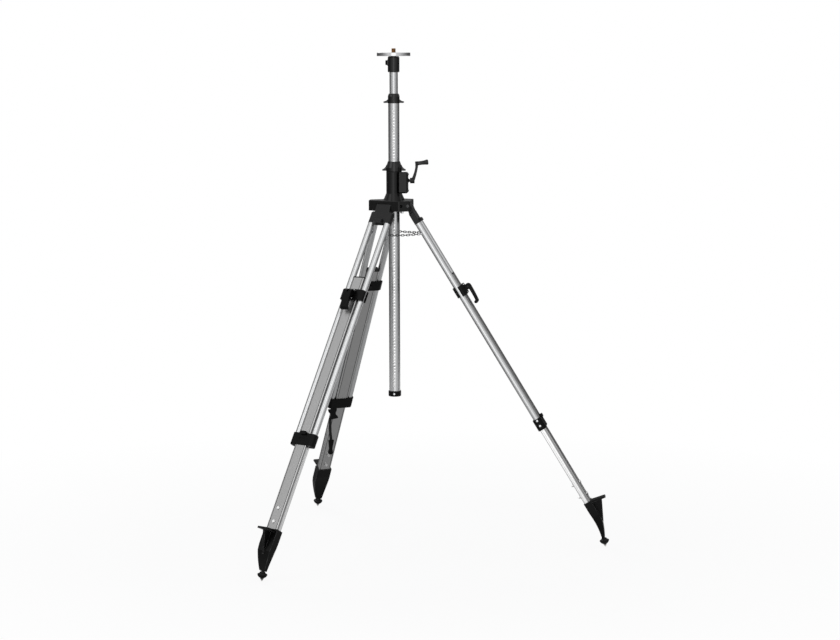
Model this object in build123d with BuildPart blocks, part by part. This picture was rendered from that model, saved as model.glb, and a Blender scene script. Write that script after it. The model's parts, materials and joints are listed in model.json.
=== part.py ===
from build123d import *
import os
from math import cos, sin, tan, pi, radians

# Elevating surveying tripod. Z is up, the ground is z = 0, the column stands on the origin.
# The right leg lies over +X. All sizes are millimetres and degrees.

os.makedirs("parts", exist_ok=True)

# Stance of the legs
LEGS = {"right": 0, "front": -120, "rear": 120}
SPLAY = 31.2
HINGE_RADIUS = 56.0
LEG_REACH = 1429.5
POINT_SET = 29.8
PIN_SET = 3.6

# Fits: fixed pieces, running pieces, pieces that slide clear of each other
FIXED = 0.02
RUNNING = 0.06
CLEAR = 0.5

# Leg tubes and the sliding inner leg
TUBE_R = 11.5
TUBE_WALL = 1.5
TUBE_SET = 35.0
INNER_DEPTH = 25.0
INNER_WIDTH = 49.0
INNER_WALL = 2.0
INNER_ROUND = 3.5
INNER_TOP = 293.2
GROOVE_SET = 18.8
GROOVE_WIDTH = 2.0
GROOVE_DEPTH = 0.9
PLUG_THICK = 4.0
PLUG_DEEP = 14.0

# Hinge block on top of each leg, with a bumper at its lower edge
PIN_R = 4.0
EAR_R = 8.7
TONGUE_HALF = 31.0
TONGUE_DROP = 28.0
BLOCK_BACK = -11.5
BLOCK_FACE = 8.0
BLOCK_HALF = 46.5
BLOCK_END = 71.7
BLOCK_ROUND = 4.0
SHOULDER_TOP = 27.0
SHOULDER_SIDE = 29.5
SPIGOT_LENGTH = 26.0
SPIGOT_TIP = 1.5
CORE_DEPTH = 12.0
CORE_WIDTH = 34.0
CORE_TALL = 24.0
BUMPER_WIDTH = 34.0
BUMPER_TALL = 14.0
BUMPER_PROUD = 10.0

# Collar at the lower end of the tubes, with a catch on its outer edge
COLLAR_TOP = 895.7
COLLAR_END = 940.3
COLLAR_HALF = 49.5
COLLAR_DEPTH = 32.0
COLLAR_ROUND = 13.0
COLLAR_LIP = 4.0
CATCH_WIDTH = 26.0
CATCH_TALL = 12.0
CATCH_OVER = 4.5
CATCH_PROUD = 7.0
PANEL_LENGTH = 26.0
PANEL_TALL = 7.0
PANEL_DEEP = 1.2

# Clamp that grips the tubes
CLAMP_TOP = 341.5
CLAMP_END = 381.0
CLAMP_HALF = 47.5
CLAMP_FACE = 22.0
CLAMP_BACK = -16.5
SADDLE_EDGE = 3.0
PLATE_EDGE = -7.5
CLAMP_SLOPE = 14.0
CLAMP_LIFT = 3.0
LEVER_PIVOT = 33.0
LEVER_EYE = 10.6
LEVER_HALF = 14.0
LEVER_LENGTH = 68.0
CROSS_PIN_R = 3.0
CLAMP_BOLT_R = 4.0

# Foot with its socket, step, web and neck
FOOT_LENGTH = 143.0
FOOT_SOCKET = 48.0
FOOT_HALF = 29.0
FOOT_DEPTH = 29.0
FRONT_SHOULDER = 63.0
SIDE_SHOULDER = 85.0
BACK_SHOULDER = 103.0
LEAF_WAIST = 34.0
LEAF_BACK = 42.0
WAIST_SET = 4.0
WAIST_HALF = 21.0
NECK_SET = -18.0
NECK_HALF = 6.2
NECK_WIDE = 12.0
STEP_REACH = 65.0
STEP_HALF = 17.0
STEP_THICK = 7.0
STEP_DROP = 12.0
WEB_FOOT = 51.0
WEB_REACH = 51.0
WEB_HALF = 4.0
TONGUE_OVER = 12.0
TONGUE_WIDE = 30.0
BOLT_RISES = (76.3, 26.4)
BOLT_HEAD = 4.0
BOLT_END = 5.0

# Steel point below the foot's neck
POINT_RISE = 33.8
POINT_TILT = 21.0
POINT_TIP_R = 1.5
POINT_SHANK = 5.5
POINT_FLARE = 17.5
POINT_HEAD = 21.0
POINT_LIP = 9.0
POINT_BEVEL = 2.3
POINT_GAP = 3.2

# Crown and the housing on it
CROWN_BELOW = 19.0
CROWN_ABOVE = 18.0
HINGE_EDGE = 64.0
CORNER_REACH = 90.0
CORNER_ROUND = 7.0
CHEEK_GAP = 33.0
SLOT_INNER = 37.0
SLOT_CLEAR = 2.5
PIN_HALF = 63.0
PIN_HEAD_R = 5.5
PIN_HEAD = 4.0
HUB_BORE = 24.0
HOUSING_R = 28.0
CONE_R = 37.0
CONE_RISE = 24.7
SHAFT_RISE = 71.7
SHAFT_COVER = 32.0
NECK_RISE = 16.0
NECK_WALL = 3.0
TOWER_WIDE = 46.0
TOWER_SHIFT = 1.0
TOWER_FLARE = 18.0
CHAMBER_HALF = 8.0
CHAMBER_CLEAR = 2.0
CHAMBER_WALL = 4.0
BUSH_LENGTH = 28.0
BUSH_SHOULDER = 8.0

# Column tubes
COLUMN_R = 20.0
COLUMN_RISE = 243.0
COLUMN_LENGTH = 1045.0
COLUMN_NECK_R = 17.8
NECK_LENGTH = 20.0
CAP_R = 23.0
CAP_HEIGHT = 20.0
CAP_LAP = 4.0
CAP_PLUG = 18.0
INNER_TUBE_R = 15.0
INNER_TUBE_WALL = 2.0
INNER_TUBE_LAP = 565.0

# Rack and pinion
RACK_PITCH = 11.5
PINION_TEETH = 8
RACK_WIDTH = 8.0
RACK_SINK = 1.6
RACK_BACK = 0.7
RACK_FOOT = 20.0
RACK_HEAD = 24.0
TOOTH_ADD = 1.5
TOOTH_DED = 2.1
TOOTH_HALF = 2.4
TOOTH_ROOT = 3.0
TOOTH_MID = 2.3
TOOTH_TIP = 1.2
PINION_HALF = 3.5
FLANK_LEAN = 22.0
SHAFT_R = 5.0
SHAFT_BLIND = 15.0

# Crank
BOX_START = 24.0
BOX_END = 54.0
BOX_WIDE = 38.0
BOSS_RISE = 4.0
BOSS_R = 9.5
HUB_X = 70.0
HUB_R = 10.0
HUB_LONG = 15.0
SHAFT_IN_HUB = 4.0
CRANK_ARM = 61.0
ARM_SHIFT = 16.0
ARM_HALF = 6.0
EYE_R = 8.0
GRIP_TILT = 8.0
GRIP_LENGTH = 38.0
GRIP_PIN_R = 3.0
GRIP_START = 4.4
GRIP_R = 7.2
GRIP_FLARE = 2.5

# Lock collars
LOCK_GAP = 0.4
LOW_LOCK_RISE = 35.0
LOW_WING_REACH = 42.5
LOW_WING_RISE = 21.0
TOP_LOCK_RISE = 35.0
TOP_WING_REACH = 37.0
TOP_WING_RISE = 14.0
WING_TIP = 6.0
WING_HALF = 5.0
WING_BOW = 22.0
LOCK_BORE = 0.3
LOW_LOCK_WALL = 5.4
TOP_LOCK_WALL = 3.5

# Head, its knob and the instrument stud
HEAD_RISE = 111.0
HEAD_HEIGHT = 57.0
HEAD_R = 21.0
TUBE_SOCKET = 22.0
SPIGOT_R = 9.0
SPIGOT_GAP = 2.0
KNOB_RISE = 34.0
KNOB_R = 10.0
KNOB_LONG = 6.5
KNOB_GAP = 1.4
KNOB_SCREW_R = 3.0
PLATE_R = 60.0
PLATE_THICK = 12.5
PLATE_GAP = 0.5
SLOT_RING = 44.0
STUD_R = 15.875 / 2
STUD_LENGTH = 15.0
STUD_ROOT_R = 6.0
STUD_ROOT = 16.0
RECESS_DEEP = 1.0
RECESS_EDGE = 1.2

# Spreader chains
CHAIN_LEVEL = 115.7
CHAIN_SAG = 3.0
LINK_COUNT = 12
LINK_WIRE = 2.4
LINK_WIDTH = 8.4
LINK_PLAY = 0.3
STEM_R = 1.6
STEM_LENGTH = 1.8
STEM_SEAT = 0.1

# Carrying strap under the rear collar: tab, webbing and end piece
STRAP_SIDE = 31.0
STRAP_THICK = 3.0
TAB_HALF = 17.5
TAB_WAIST = 9.0
TAB_FOOT = 13.5
TAB_DROP = 40.0
STRAP_HALF = 4.6
STRAP_DROP = 120.0
END_HALF = 10.0
END_WAIST = 5.8
END_BULB = 8.0
END_DROP = 172.0

# Worked out from the driving sizes
POINT_LEAN = SPLAY - POINT_TILT
PIN_Z = (
    LEG_REACH * cos(radians(SPLAY))
    + (PIN_SET + POINT_SET) * sin(radians(SPLAY))
    + POINT_TIP_R * sin(radians(POINT_LEAN))
)
FOOT_NECK = LEG_REACH - POINT_RISE
FOOT_RIM = FOOT_NECK - FOOT_LENGTH
INNER_END = FOOT_RIM + FOOT_SOCKET
BOLT_LEVELS = [FOOT_RIM - rise for rise in BOLT_RISES]
CLAMP_MID = (CLAMP_TOP + CLAMP_END) / 2 - 2
CROWN_LOW = PIN_Z - CROWN_BELOW
CROWN_TOP = PIN_Z + CROWN_ABOVE
CONE_TOP = CROWN_TOP + CONE_RISE
SHAFT_Z = CROWN_TOP + SHAFT_RISE
HOUSING_TOP = SHAFT_Z + SHAFT_COVER
COLUMN_TOP = HOUSING_TOP + COLUMN_RISE
COLUMN_FOOT = COLUMN_TOP - COLUMN_LENGTH
COLUMN_BORE = INNER_TUBE_R + RUNNING
CAP_TOP = COLUMN_FOOT + CAP_LAP
CAP_BOTTOM = CAP_TOP - CAP_HEIGHT
INNER_TUBE_LOW = COLUMN_TOP - INNER_TUBE_LAP
RACK_LOW = COLUMN_FOOT + RACK_FOOT
RACK_TEETH = int((COLUMN_LENGTH - RACK_FOOT - RACK_HEAD) / RACK_PITCH)
RACK_LINE = COLUMN_R - RACK_SINK
PITCH_R = PINION_TEETH * RACK_PITCH / (2 * pi)
SHAFT_Y = -(RACK_LINE + PITCH_R)
HEAD_LOW = COLUMN_TOP + HEAD_RISE
HEAD_HIGH = HEAD_LOW + HEAD_HEIGHT
KNOB_Z = HEAD_LOW + KNOB_RISE
PLATE_LOW = HEAD_HIGH + PLATE_GAP
PLATE_TOP = PLATE_LOW + PLATE_THICK
NODES = []


def save(solid, name):
    """Name a finished piece and write its file."""
    solid.label = name
    export_step(solid, f"parts/{name}.step")
    NODES.append(name)


def leg_frame(azimuth):
    """Plane across a leg at its hinge: x points out of the leg, y sideways, z up along it."""
    a = radians(azimuth)
    lean = radians(SPLAY)
    outward = Vector(cos(lean) * cos(a), cos(lean) * sin(a), sin(lean))
    along = Vector(-sin(lean) * cos(a), -sin(lean) * sin(a), cos(lean))
    pin = Vector(HINGE_RADIUS * cos(a), HINGE_RADIUS * sin(a), PIN_Z)
    return Plane(origin=pin - outward * PIN_SET, x_dir=outward, z_dir=along)


def side_plane(azimuth):
    """Plane through a leg's middle: x points out of the leg, y up along it."""
    frame = leg_frame(azimuth)
    return Plane(origin=frame.origin, x_dir=frame.x_dir, z_dir=-frame.y_dir)


def face_plane(azimuth):
    """Plane facing out of a leg: x points sideways, y up along it."""
    frame = leg_frame(azimuth)
    return Plane(origin=frame.origin, x_dir=frame.y_dir, z_dir=frame.x_dir)


def outline(points):
    """Closed face through corner points, inside a sketch."""
    Polygon(*points, align=None)


def inner_section(grow):
    """Section of the inner leg inside a sketch, with a groove along each tube."""
    RectangleRounded(INNER_DEPTH + 2 * grow, INNER_WIDTH + 2 * grow, INNER_ROUND + grow)
    with tube_spots():
        Circle(TUBE_R + CLEAR - grow, mode=Mode.SUBTRACT)


def tube_spots():
    """Places of the two tubes on a plane across the leg."""
    return Locations((0, TUBE_SET), (0, -TUBE_SET))


# Legs: upper part


def hinge_block(azimuth):
    """Cast block that hangs on the hinge pin, with a spigot in each tube and a bumper below."""
    across = leg_frame(azimuth)
    side = side_plane(azimuth)
    front = PIN_SET + EAR_R
    bumper_top = -BLOCK_END + BUMPER_TALL
    bumper_face = BLOCK_FACE + BUMPER_PROUD
    core_set = (BLOCK_FACE + BLOCK_BACK) / 2
    with BuildPart() as block:
        with BuildSketch(face_plane(azimuth).offset(BLOCK_BACK)):
            outline(
                [
                    (-TONGUE_HALF, -SHOULDER_TOP),
                    (TONGUE_HALF, -SHOULDER_TOP),
                    (BLOCK_HALF, -SHOULDER_SIDE),
                    (BLOCK_HALF, -BLOCK_END),
                    (-BLOCK_HALF, -BLOCK_END),
                    (-BLOCK_HALF, -SHOULDER_SIDE),
                ]
            )
        extrude(amount=BLOCK_FACE - BLOCK_BACK)
        upright = block.edges().filter_by(Axis(across.origin, across.z_dir))
        fillet(upright, BLOCK_ROUND)
        with BuildSketch(side):
            with BuildLine():
                Polyline((BLOCK_FACE, -BLOCK_END), (BLOCK_FACE, -SHOULDER_SIDE), (front, 0))
                ThreePointArc((front, 0), (PIN_SET, EAR_R), (PIN_SET - EAR_R, 0))
                Polyline(
                    (PIN_SET - EAR_R, 0),
                    (BLOCK_BACK, -TONGUE_DROP),
                    (BLOCK_BACK, -BLOCK_END),
                    (BLOCK_FACE, -BLOCK_END),
                )
            make_face()
        extrude(amount=TONGUE_HALF, both=True)
        with BuildSketch(side):
            outline(
                [
                    (core_set, -BLOCK_END),
                    (bumper_face, -BLOCK_END),
                    (bumper_face, bumper_top - BUMPER_PROUD / 3),
                    (bumper_face - BUMPER_PROUD / 3, bumper_top),
                    (core_set, bumper_top),
                ]
            )
        extrude(amount=BUMPER_WIDTH / 2, both=True)
        with BuildSketch(across.offset(-BLOCK_END)):
            with Locations((core_set, 0)):
                Rectangle(CORE_DEPTH, CORE_WIDTH)
        extrude(amount=CORE_TALL, mode=Mode.SUBTRACT)
        with BuildSketch(across.offset(-BLOCK_END)):
            with tube_spots():
                Circle(TUBE_R - TUBE_WALL - FIXED)
        extrude(amount=-SPIGOT_LENGTH)
        tips = block.faces().sort_by(Axis(across.origin, across.z_dir))[:2]
        chamfer(tips[0].edges() + tips[1].edges(), SPIGOT_TIP)
        with BuildSketch(side):
            with Locations((PIN_SET, 0)):
                Circle(PIN_R + RUNNING)
        extrude(amount=2 * TONGUE_HALF, both=True, mode=Mode.SUBTRACT)
    return block.part


def leg_tube(azimuth, offset):
    """One of the two round tubes of a leg."""
    low = COLLAR_END - COLLAR_LIP
    high = BLOCK_END
    with BuildPart() as tube:
        with BuildSketch(leg_frame(azimuth).offset(-low)):
            with Locations((0, offset)):
                Circle(TUBE_R)
                Circle(TUBE_R - TUBE_WALL, mode=Mode.SUBTRACT)
        extrude(amount=low - high)
    return tube.part


def lower_collar(azimuth):
    """Collar that joins the tubes' lower ends and guides the inner leg."""
    across = leg_frame(azimuth)
    front = face_plane(azimuth).offset(COLLAR_DEPTH / 2)
    height = COLLAR_END - COLLAR_TOP
    wall = (COLLAR_DEPTH - INNER_DEPTH) / 2 - CLEAR
    with BuildPart() as collar:
        with BuildSketch(across.offset(-COLLAR_END)):
            RectangleRounded(COLLAR_DEPTH, 2 * COLLAR_HALF, COLLAR_ROUND)
        extrude(amount=height)
        rims = collar.faces().sort_by(Axis(across.origin, across.z_dir))
        fillet(rims[0].edges() + rims[-1].edges(), COLLAR_LIP / 2)
        with BuildSketch(front):
            with Locations((0, -COLLAR_TOP + CATCH_OVER - CATCH_TALL / 2)):
                RectangleRounded(CATCH_WIDTH, CATCH_TALL, CATCH_TALL / 4)
        extrude(amount=CATCH_PROUD)
        with BuildSketch(front):
            with Locations((0, -COLLAR_TOP + CATCH_OVER / 2 - 1)):
                Rectangle(CATCH_WIDTH - CATCH_TALL / 2, CATCH_OVER + 2)
        extrude(amount=-wall)
        with BuildSketch(front):
            with Locations((0, -COLLAR_END + height / 2)):
                SlotOverall(PANEL_LENGTH, PANEL_TALL)
        extrude(amount=-PANEL_DEEP, mode=Mode.SUBTRACT)
        with BuildSketch(across.offset(-COLLAR_END)):
            Rectangle(INNER_DEPTH + 2 * CLEAR, INNER_WIDTH + 2 * CLEAR)
        extrude(amount=height, mode=Mode.SUBTRACT)
        with BuildSketch(across.offset(-COLLAR_END + COLLAR_LIP)):
            with tube_spots():
                Circle(TUBE_R + FIXED)
        extrude(amount=height, mode=Mode.SUBTRACT)
    return collar.part


# Legs: sliding part


def inner_leg(azimuth):
    """Hollow section that slides between the tubes, with fine grooves along both faces."""
    across = leg_frame(azimuth)
    length = INNER_END - INNER_TOP
    with BuildPart() as leg:
        with BuildSketch(across.offset(-INNER_END)):
            inner_section(0)
            with GridLocations(INNER_DEPTH, 2 * GROOVE_SET, 2, 2):
                Rectangle(2 * GROOVE_DEPTH, GROOVE_WIDTH, mode=Mode.SUBTRACT)
        extrude(amount=length)
        with BuildSketch(across.offset(-INNER_END)):
            inner_section(-INNER_WALL)
        extrude(amount=length, mode=Mode.SUBTRACT)
        with BuildSketch(face_plane(azimuth)):
            with Locations(*[(0, -level) for level in (CLAMP_MID, *BOLT_LEVELS)]):
                Circle(CLAMP_BOLT_R + FIXED)
        extrude(amount=INNER_DEPTH, both=True, mode=Mode.SUBTRACT)
    return leg.part


def leg_plug(azimuth):
    """Flat plug in the inner leg's upper end."""
    with BuildPart() as plug:
        with BuildSketch(leg_frame(azimuth).offset(-INNER_TOP)):
            inner_section(0)
        extrude(amount=PLUG_THICK)
        with BuildSketch(leg_frame(azimuth).offset(-INNER_TOP)):
            inner_section(-INNER_WALL - FIXED)
        extrude(amount=-PLUG_DEEP)
    return plug.part


def clamp_outer(azimuth):
    """Saddle over the outer half of the tubes, with a gusset on each side of the lever."""
    across = leg_frame(azimuth)
    height = CLAMP_END - CLAMP_TOP
    corner = CLAMP_FACE - 9
    root = CLAMP_FACE - 1
    crest = CLAMP_FACE + 7
    with BuildPart() as saddle:
        with BuildSketch(across.offset(-CLAMP_END)):
            outline(
                [
                    (SADDLE_EDGE, -CLAMP_HALF),
                    (corner, -CLAMP_HALF),
                    (CLAMP_FACE, -CLAMP_HALF + CLAMP_SLOPE),
                    (CLAMP_FACE, CLAMP_HALF - CLAMP_SLOPE),
                    (corner, CLAMP_HALF),
                    (SADDLE_EDGE, CLAMP_HALF),
                ]
            )
        extrude(amount=height)
        sideways = saddle.edges().filter_by(Axis(across.origin, across.y_dir))
        chamfer(sideways.sort_by(Axis(across.origin, across.x_dir))[-2:], 2)
        for edge in (-LEVER_HALF - 5, LEVER_HALF + 2):
            with BuildSketch(side_plane(azimuth).offset(edge)):
                outline(
                    [
                        (root, -CLAMP_TOP - 3),
                        (crest, -CLAMP_MID + 6),
                        (crest, -CLAMP_MID - 3),
                        (root, -CLAMP_MID - 10),
                    ]
                )
            extrude(amount=3)
        with BuildSketch(across.offset(-CLAMP_END)):
            Rectangle(INNER_DEPTH, INNER_WIDTH + 4 * CLEAR)
            with tube_spots():
                Circle(TUBE_R + RUNNING)
        extrude(amount=height, mode=Mode.SUBTRACT)
        with BuildSketch(face_plane(azimuth)):
            with Locations((0, -CLAMP_MID)):
                Circle(CLAMP_BOLT_R + FIXED)
        extrude(amount=crest + 1, mode=Mode.SUBTRACT)
    return saddle.part


def clamp_inner(azimuth):
    """Plate that pulls the tubes against the saddle from inside."""
    across = leg_frame(azimuth)
    height = CLAMP_END - CLAMP_TOP
    low = -CLAMP_END + CLAMP_LIFT
    with BuildPart() as plate:
        with BuildSketch(across.offset(low)):
            outline(
                [
                    (PLATE_EDGE, -CLAMP_HALF),
                    (CLAMP_BACK + 4, -CLAMP_HALF),
                    (CLAMP_BACK, -CLAMP_HALF + 8),
                    (CLAMP_BACK, CLAMP_HALF - 8),
                    (CLAMP_BACK + 4, CLAMP_HALF),
                    (PLATE_EDGE, CLAMP_HALF),
                ]
            )
        extrude(amount=height)
        with BuildSketch(across.offset(low)):
            Rectangle(INNER_DEPTH, INNER_WIDTH + 4 * CLEAR)
            with tube_spots():
                Circle(TUBE_R + RUNNING)
        extrude(amount=height, mode=Mode.SUBTRACT)
        with BuildSketch(face_plane(azimuth)):
            with Locations((0, -CLAMP_MID)):
                Circle(CLAMP_BOLT_R + FIXED)
        extrude(amount=CLAMP_BACK - 1, mode=Mode.SUBTRACT)
    return plate.part


def clamp_bolt(azimuth):
    """Draw bolt through the clamp, with an eye and a cross pin for the lever."""
    head = 4
    with BuildPart() as bolt:
        with BuildSketch(face_plane(azimuth).offset(CLAMP_BACK - head)):
            with Locations((0, -CLAMP_MID)):
                RegularPolygon(CLAMP_BOLT_R + 3, 6)
        extrude(amount=head)
        with BuildSketch(face_plane(azimuth).offset(CLAMP_BACK)):
            with Locations((0, -CLAMP_MID)):
                Circle(CLAMP_BOLT_R)
        extrude(amount=LEVER_PIVOT - CLAMP_BACK)
        with BuildSketch(side_plane(azimuth)):
            with Locations((LEVER_PIVOT, -CLAMP_MID)):
                Circle(2 * CROSS_PIN_R)
        extrude(amount=CLAMP_BOLT_R + CLEAR / 2, both=True)
        with BuildSketch(side_plane(azimuth)):
            with Locations((LEVER_PIVOT, -CLAMP_MID)):
                Circle(CROSS_PIN_R)
        extrude(amount=LEVER_HALF + 1, both=True)
    return bolt.part


def clamp_lever(azimuth):
    """Cam lever on the bolt's cross pin: a forked eye, a bowed arm and a hooked end."""
    side = side_plane(azimuth)
    eye = -CLAMP_MID
    end = eye - LEVER_LENGTH
    waist = eye - LEVER_LENGTH / 2
    fork = CLAMP_BOLT_R + 2 * CLEAR
    with BuildPart() as lever:
        with BuildSketch(side):
            with Locations((LEVER_PIVOT, eye)):
                Circle(LEVER_EYE)
        extrude(amount=LEVER_HALF, both=True)
        with BuildSketch(side):
            with BuildLine():
                Line((LEVER_PIVOT - 1, eye), (LEVER_PIVOT + LEVER_EYE, eye))
                ThreePointArc(
                    (LEVER_PIVOT + LEVER_EYE, eye),
                    (LEVER_PIVOT + LEVER_EYE - 1, waist),
                    (LEVER_PIVOT + 7.5, end + 10),
                )
                ThreePointArc(
                    (LEVER_PIVOT + 7.5, end + 10),
                    (LEVER_PIVOT + 4.5, end + 2),
                    (LEVER_PIVOT - 4, end),
                )
                ThreePointArc(
                    (LEVER_PIVOT - 4, end),
                    (LEVER_PIVOT - 9.5, end + 5.5),
                    (LEVER_PIVOT - 4, end + 11),
                )
                ThreePointArc(
                    (LEVER_PIVOT - 4, end + 11),
                    (LEVER_PIVOT - 2.3, end + 13),
                    (LEVER_PIVOT - 1.5, end + 18),
                )
                ThreePointArc(
                    (LEVER_PIVOT - 1.5, end + 18),
                    (LEVER_PIVOT - 0.6, waist),
                    (LEVER_PIVOT - 1, eye),
                )
            make_face()
        extrude(amount=LEVER_HALF, both=True)
        with BuildSketch(side):
            with Locations((LEVER_PIVOT, eye)):
                Circle(LEVER_EYE + 1)
        extrude(amount=fork, both=True, mode=Mode.SUBTRACT)
        with BuildSketch(side):
            with Locations((LEVER_PIVOT - LEVER_EYE / 2, eye - LEVER_EYE - 4)):
                Rectangle(LEVER_EYE + 8, 2 * LEVER_EYE + 8)
        extrude(amount=fork, both=True, mode=Mode.SUBTRACT)
        with BuildSketch(side):
            with Locations((LEVER_PIVOT, eye)):
                Circle(CROSS_PIN_R + RUNNING)
        extrude(amount=LEVER_HALF + 1, both=True, mode=Mode.SUBTRACT)
    return lever.part


def foot(azimuth):
    """Cast foot: socket, leaf-shaped body, step plate with its web, and a neck."""
    side = side_plane(azimuth)
    face = face_plane(azimuth)
    across = leg_frame(azimuth)
    half = FOOT_DEPTH / 2
    rim = -FOOT_RIM
    neck = -FOOT_NECK
    front = neck + FRONT_SHOULDER
    back = neck + BACK_SHOULDER
    flank = neck + SIDE_SHOULDER
    step_root = half - 2
    with BuildPart() as casting:
        with BuildSketch(side):
            with BuildLine():
                Line((-half, rim), (half, rim))
                Line((half, rim), (half, front))
                Spline((half, front), (WAIST_SET, neck + LEAF_WAIST), (NECK_SET + NECK_HALF, neck))
                Line((NECK_SET + NECK_HALF, neck), (NECK_SET - NECK_HALF, neck))
                Spline((NECK_SET - NECK_HALF, neck), (-half - 1, neck + LEAF_BACK), (-half, back))
                Line((-half, back), (-half, rim))
            make_face()
        extrude(amount=FOOT_HALF, both=True)
        with BuildSketch(face):
            with BuildLine():
                Line((-FOOT_HALF, rim), (FOOT_HALF, rim))
                Line((FOOT_HALF, rim), (FOOT_HALF, flank))
                Spline((FOOT_HALF, flank), (WAIST_HALF, neck + LEAF_WAIST), (NECK_WIDE, neck))
                Line((NECK_WIDE, neck), (-NECK_WIDE, neck))
                Spline((-NECK_WIDE, neck), (-WAIST_HALF, neck + LEAF_WAIST), (-FOOT_HALF, flank))
                Line((-FOOT_HALF, flank), (-FOOT_HALF, rim))
            make_face()
        extrude(amount=2 * FOOT_DEPTH, both=True, mode=Mode.INTERSECT)
        with BuildSketch(side):
            outline(
                [
                    (step_root, rim - 1),
                    (STEP_REACH, rim - STEP_DROP),
                    (STEP_REACH, rim - STEP_DROP - STEP_THICK),
                    (step_root, rim - STEP_DROP + 1),
                ]
            )
        extrude(amount=STEP_HALF, both=True)
        with BuildSketch(side):
            outline(
                [
                    (step_root, rim - STEP_DROP + 3),
                    (WEB_REACH, rim - STEP_DROP - STEP_THICK / 2),
                    (step_root, neck + WEB_FOOT),
                ]
            )
        extrude(amount=WEB_HALF, both=True)
        with BuildSketch(across.offset(-INNER_END)):
            inner_section(FIXED)
        extrude(amount=FOOT_SOCKET, mode=Mode.SUBTRACT)
        with BuildSketch(across.offset(-INNER_END - 1)):
            Rectangle(INNER_DEPTH - 2 * INNER_WALL - 4 * CLEAR, TONGUE_WIDE)
        extrude(amount=INNER_END + 1 - min(BOLT_LEVELS) + TONGUE_OVER)
        with BuildSketch(face):
            with Locations(*[(0, -level) for level in BOLT_LEVELS]):
                Circle(CLAMP_BOLT_R + FIXED)
        extrude(amount=INNER_DEPTH, both=True, mode=Mode.SUBTRACT)
    return casting.part


def point_plane(azimuth):
    """Plane on the steel point's axis, at its tip: z runs up the point."""
    side = side_plane(azimuth)
    lean = radians(POINT_TILT)
    tip = side.from_local_coords(Vector(-POINT_SET, -LEG_REACH))
    up = side.x_dir * sin(lean) + side.y_dir * cos(lean)
    return Plane(origin=tip, x_dir=side.x_dir * cos(lean) - side.y_dir * sin(lean), z_dir=up)


def foot_point(azimuth):
    """Flared collar and point below the foot's neck, with a stub that meets the neck."""
    axis = point_plane(azimuth)
    top = POINT_RISE / cos(radians(POINT_TILT)) - POINT_GAP
    lip = top - POINT_LIP
    head = top - POINT_HEAD
    stub_r = NECK_HALF - CLEAR
    with BuildPart() as point:
        with BuildSketch(Plane(origin=axis.origin, x_dir=axis.x_dir, z_dir=-axis.y_dir)):
            with BuildLine():
                Polyline(
                    (0, 0),
                    (POINT_TIP_R, 0),
                    (POINT_SHANK, head - POINT_BEVEL),
                    (POINT_SHANK + POINT_BEVEL, head),
                )
                ThreePointArc(
                    (POINT_SHANK + POINT_BEVEL, head),
                    (0.8 * POINT_FLARE, (0.6 * head + 0.4 * lip)),
                    (POINT_FLARE, lip),
                )
                Polyline(
                    (POINT_FLARE, lip),
                    (POINT_FLARE - POINT_BEVEL, lip + POINT_LIP / 3),
                    (POINT_FLARE / 2 + POINT_BEVEL, lip + POINT_LIP / 2),
                    (POINT_FLARE / 2, top),
                    (0, top),
                    (0, 0),
                )
            make_face()
        revolve(axis=Axis(axis.origin, axis.z_dir))
        with BuildSketch(leg_frame(azimuth).offset(-FOOT_NECK - stub_r)):
            with Locations((NECK_SET - 1.2, 0)):
                Circle(stub_r)
        extrude(amount=stub_r)
    return point.part


def foot_bolts(azimuth):
    """Two bolts that hold the foot's tongue in the inner leg."""
    outer = INNER_DEPTH / 2
    head_r = CLAMP_BOLT_R + 2.5
    with BuildPart() as bolts:
        for level in BOLT_LEVELS:
            with BuildSketch(face_plane(azimuth).offset(-outer)):
                with Locations((0, -level)):
                    Circle(CLAMP_BOLT_R)
            extrude(amount=2 * outer)
            for start, radius, tall in ((0, head_r, BOLT_HEAD), (BOLT_HEAD, CLAMP_BOLT_R, BOLT_END)):
                with BuildSketch(face_plane(azimuth).offset(-outer - start)):
                    with Locations((0, -level)):
                        Circle(radius)
                extrude(amount=-tall)
            with BuildSketch(face_plane(azimuth).offset(outer)):
                with Locations((0, -level)):
                    RegularPolygon(head_r, 6)
            extrude(amount=BOLT_HEAD)
    return bolts.part


# Crown, housing and column


def hinge_upright(azimuth):
    """Upright plane through a hinge, square to its pin: x points outward, y up, zero at the pin."""
    a = radians(azimuth)
    return Plane(origin=(0, 0, PIN_Z), x_dir=(cos(a), sin(a), 0), z_dir=(sin(a), -cos(a), 0))


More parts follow.
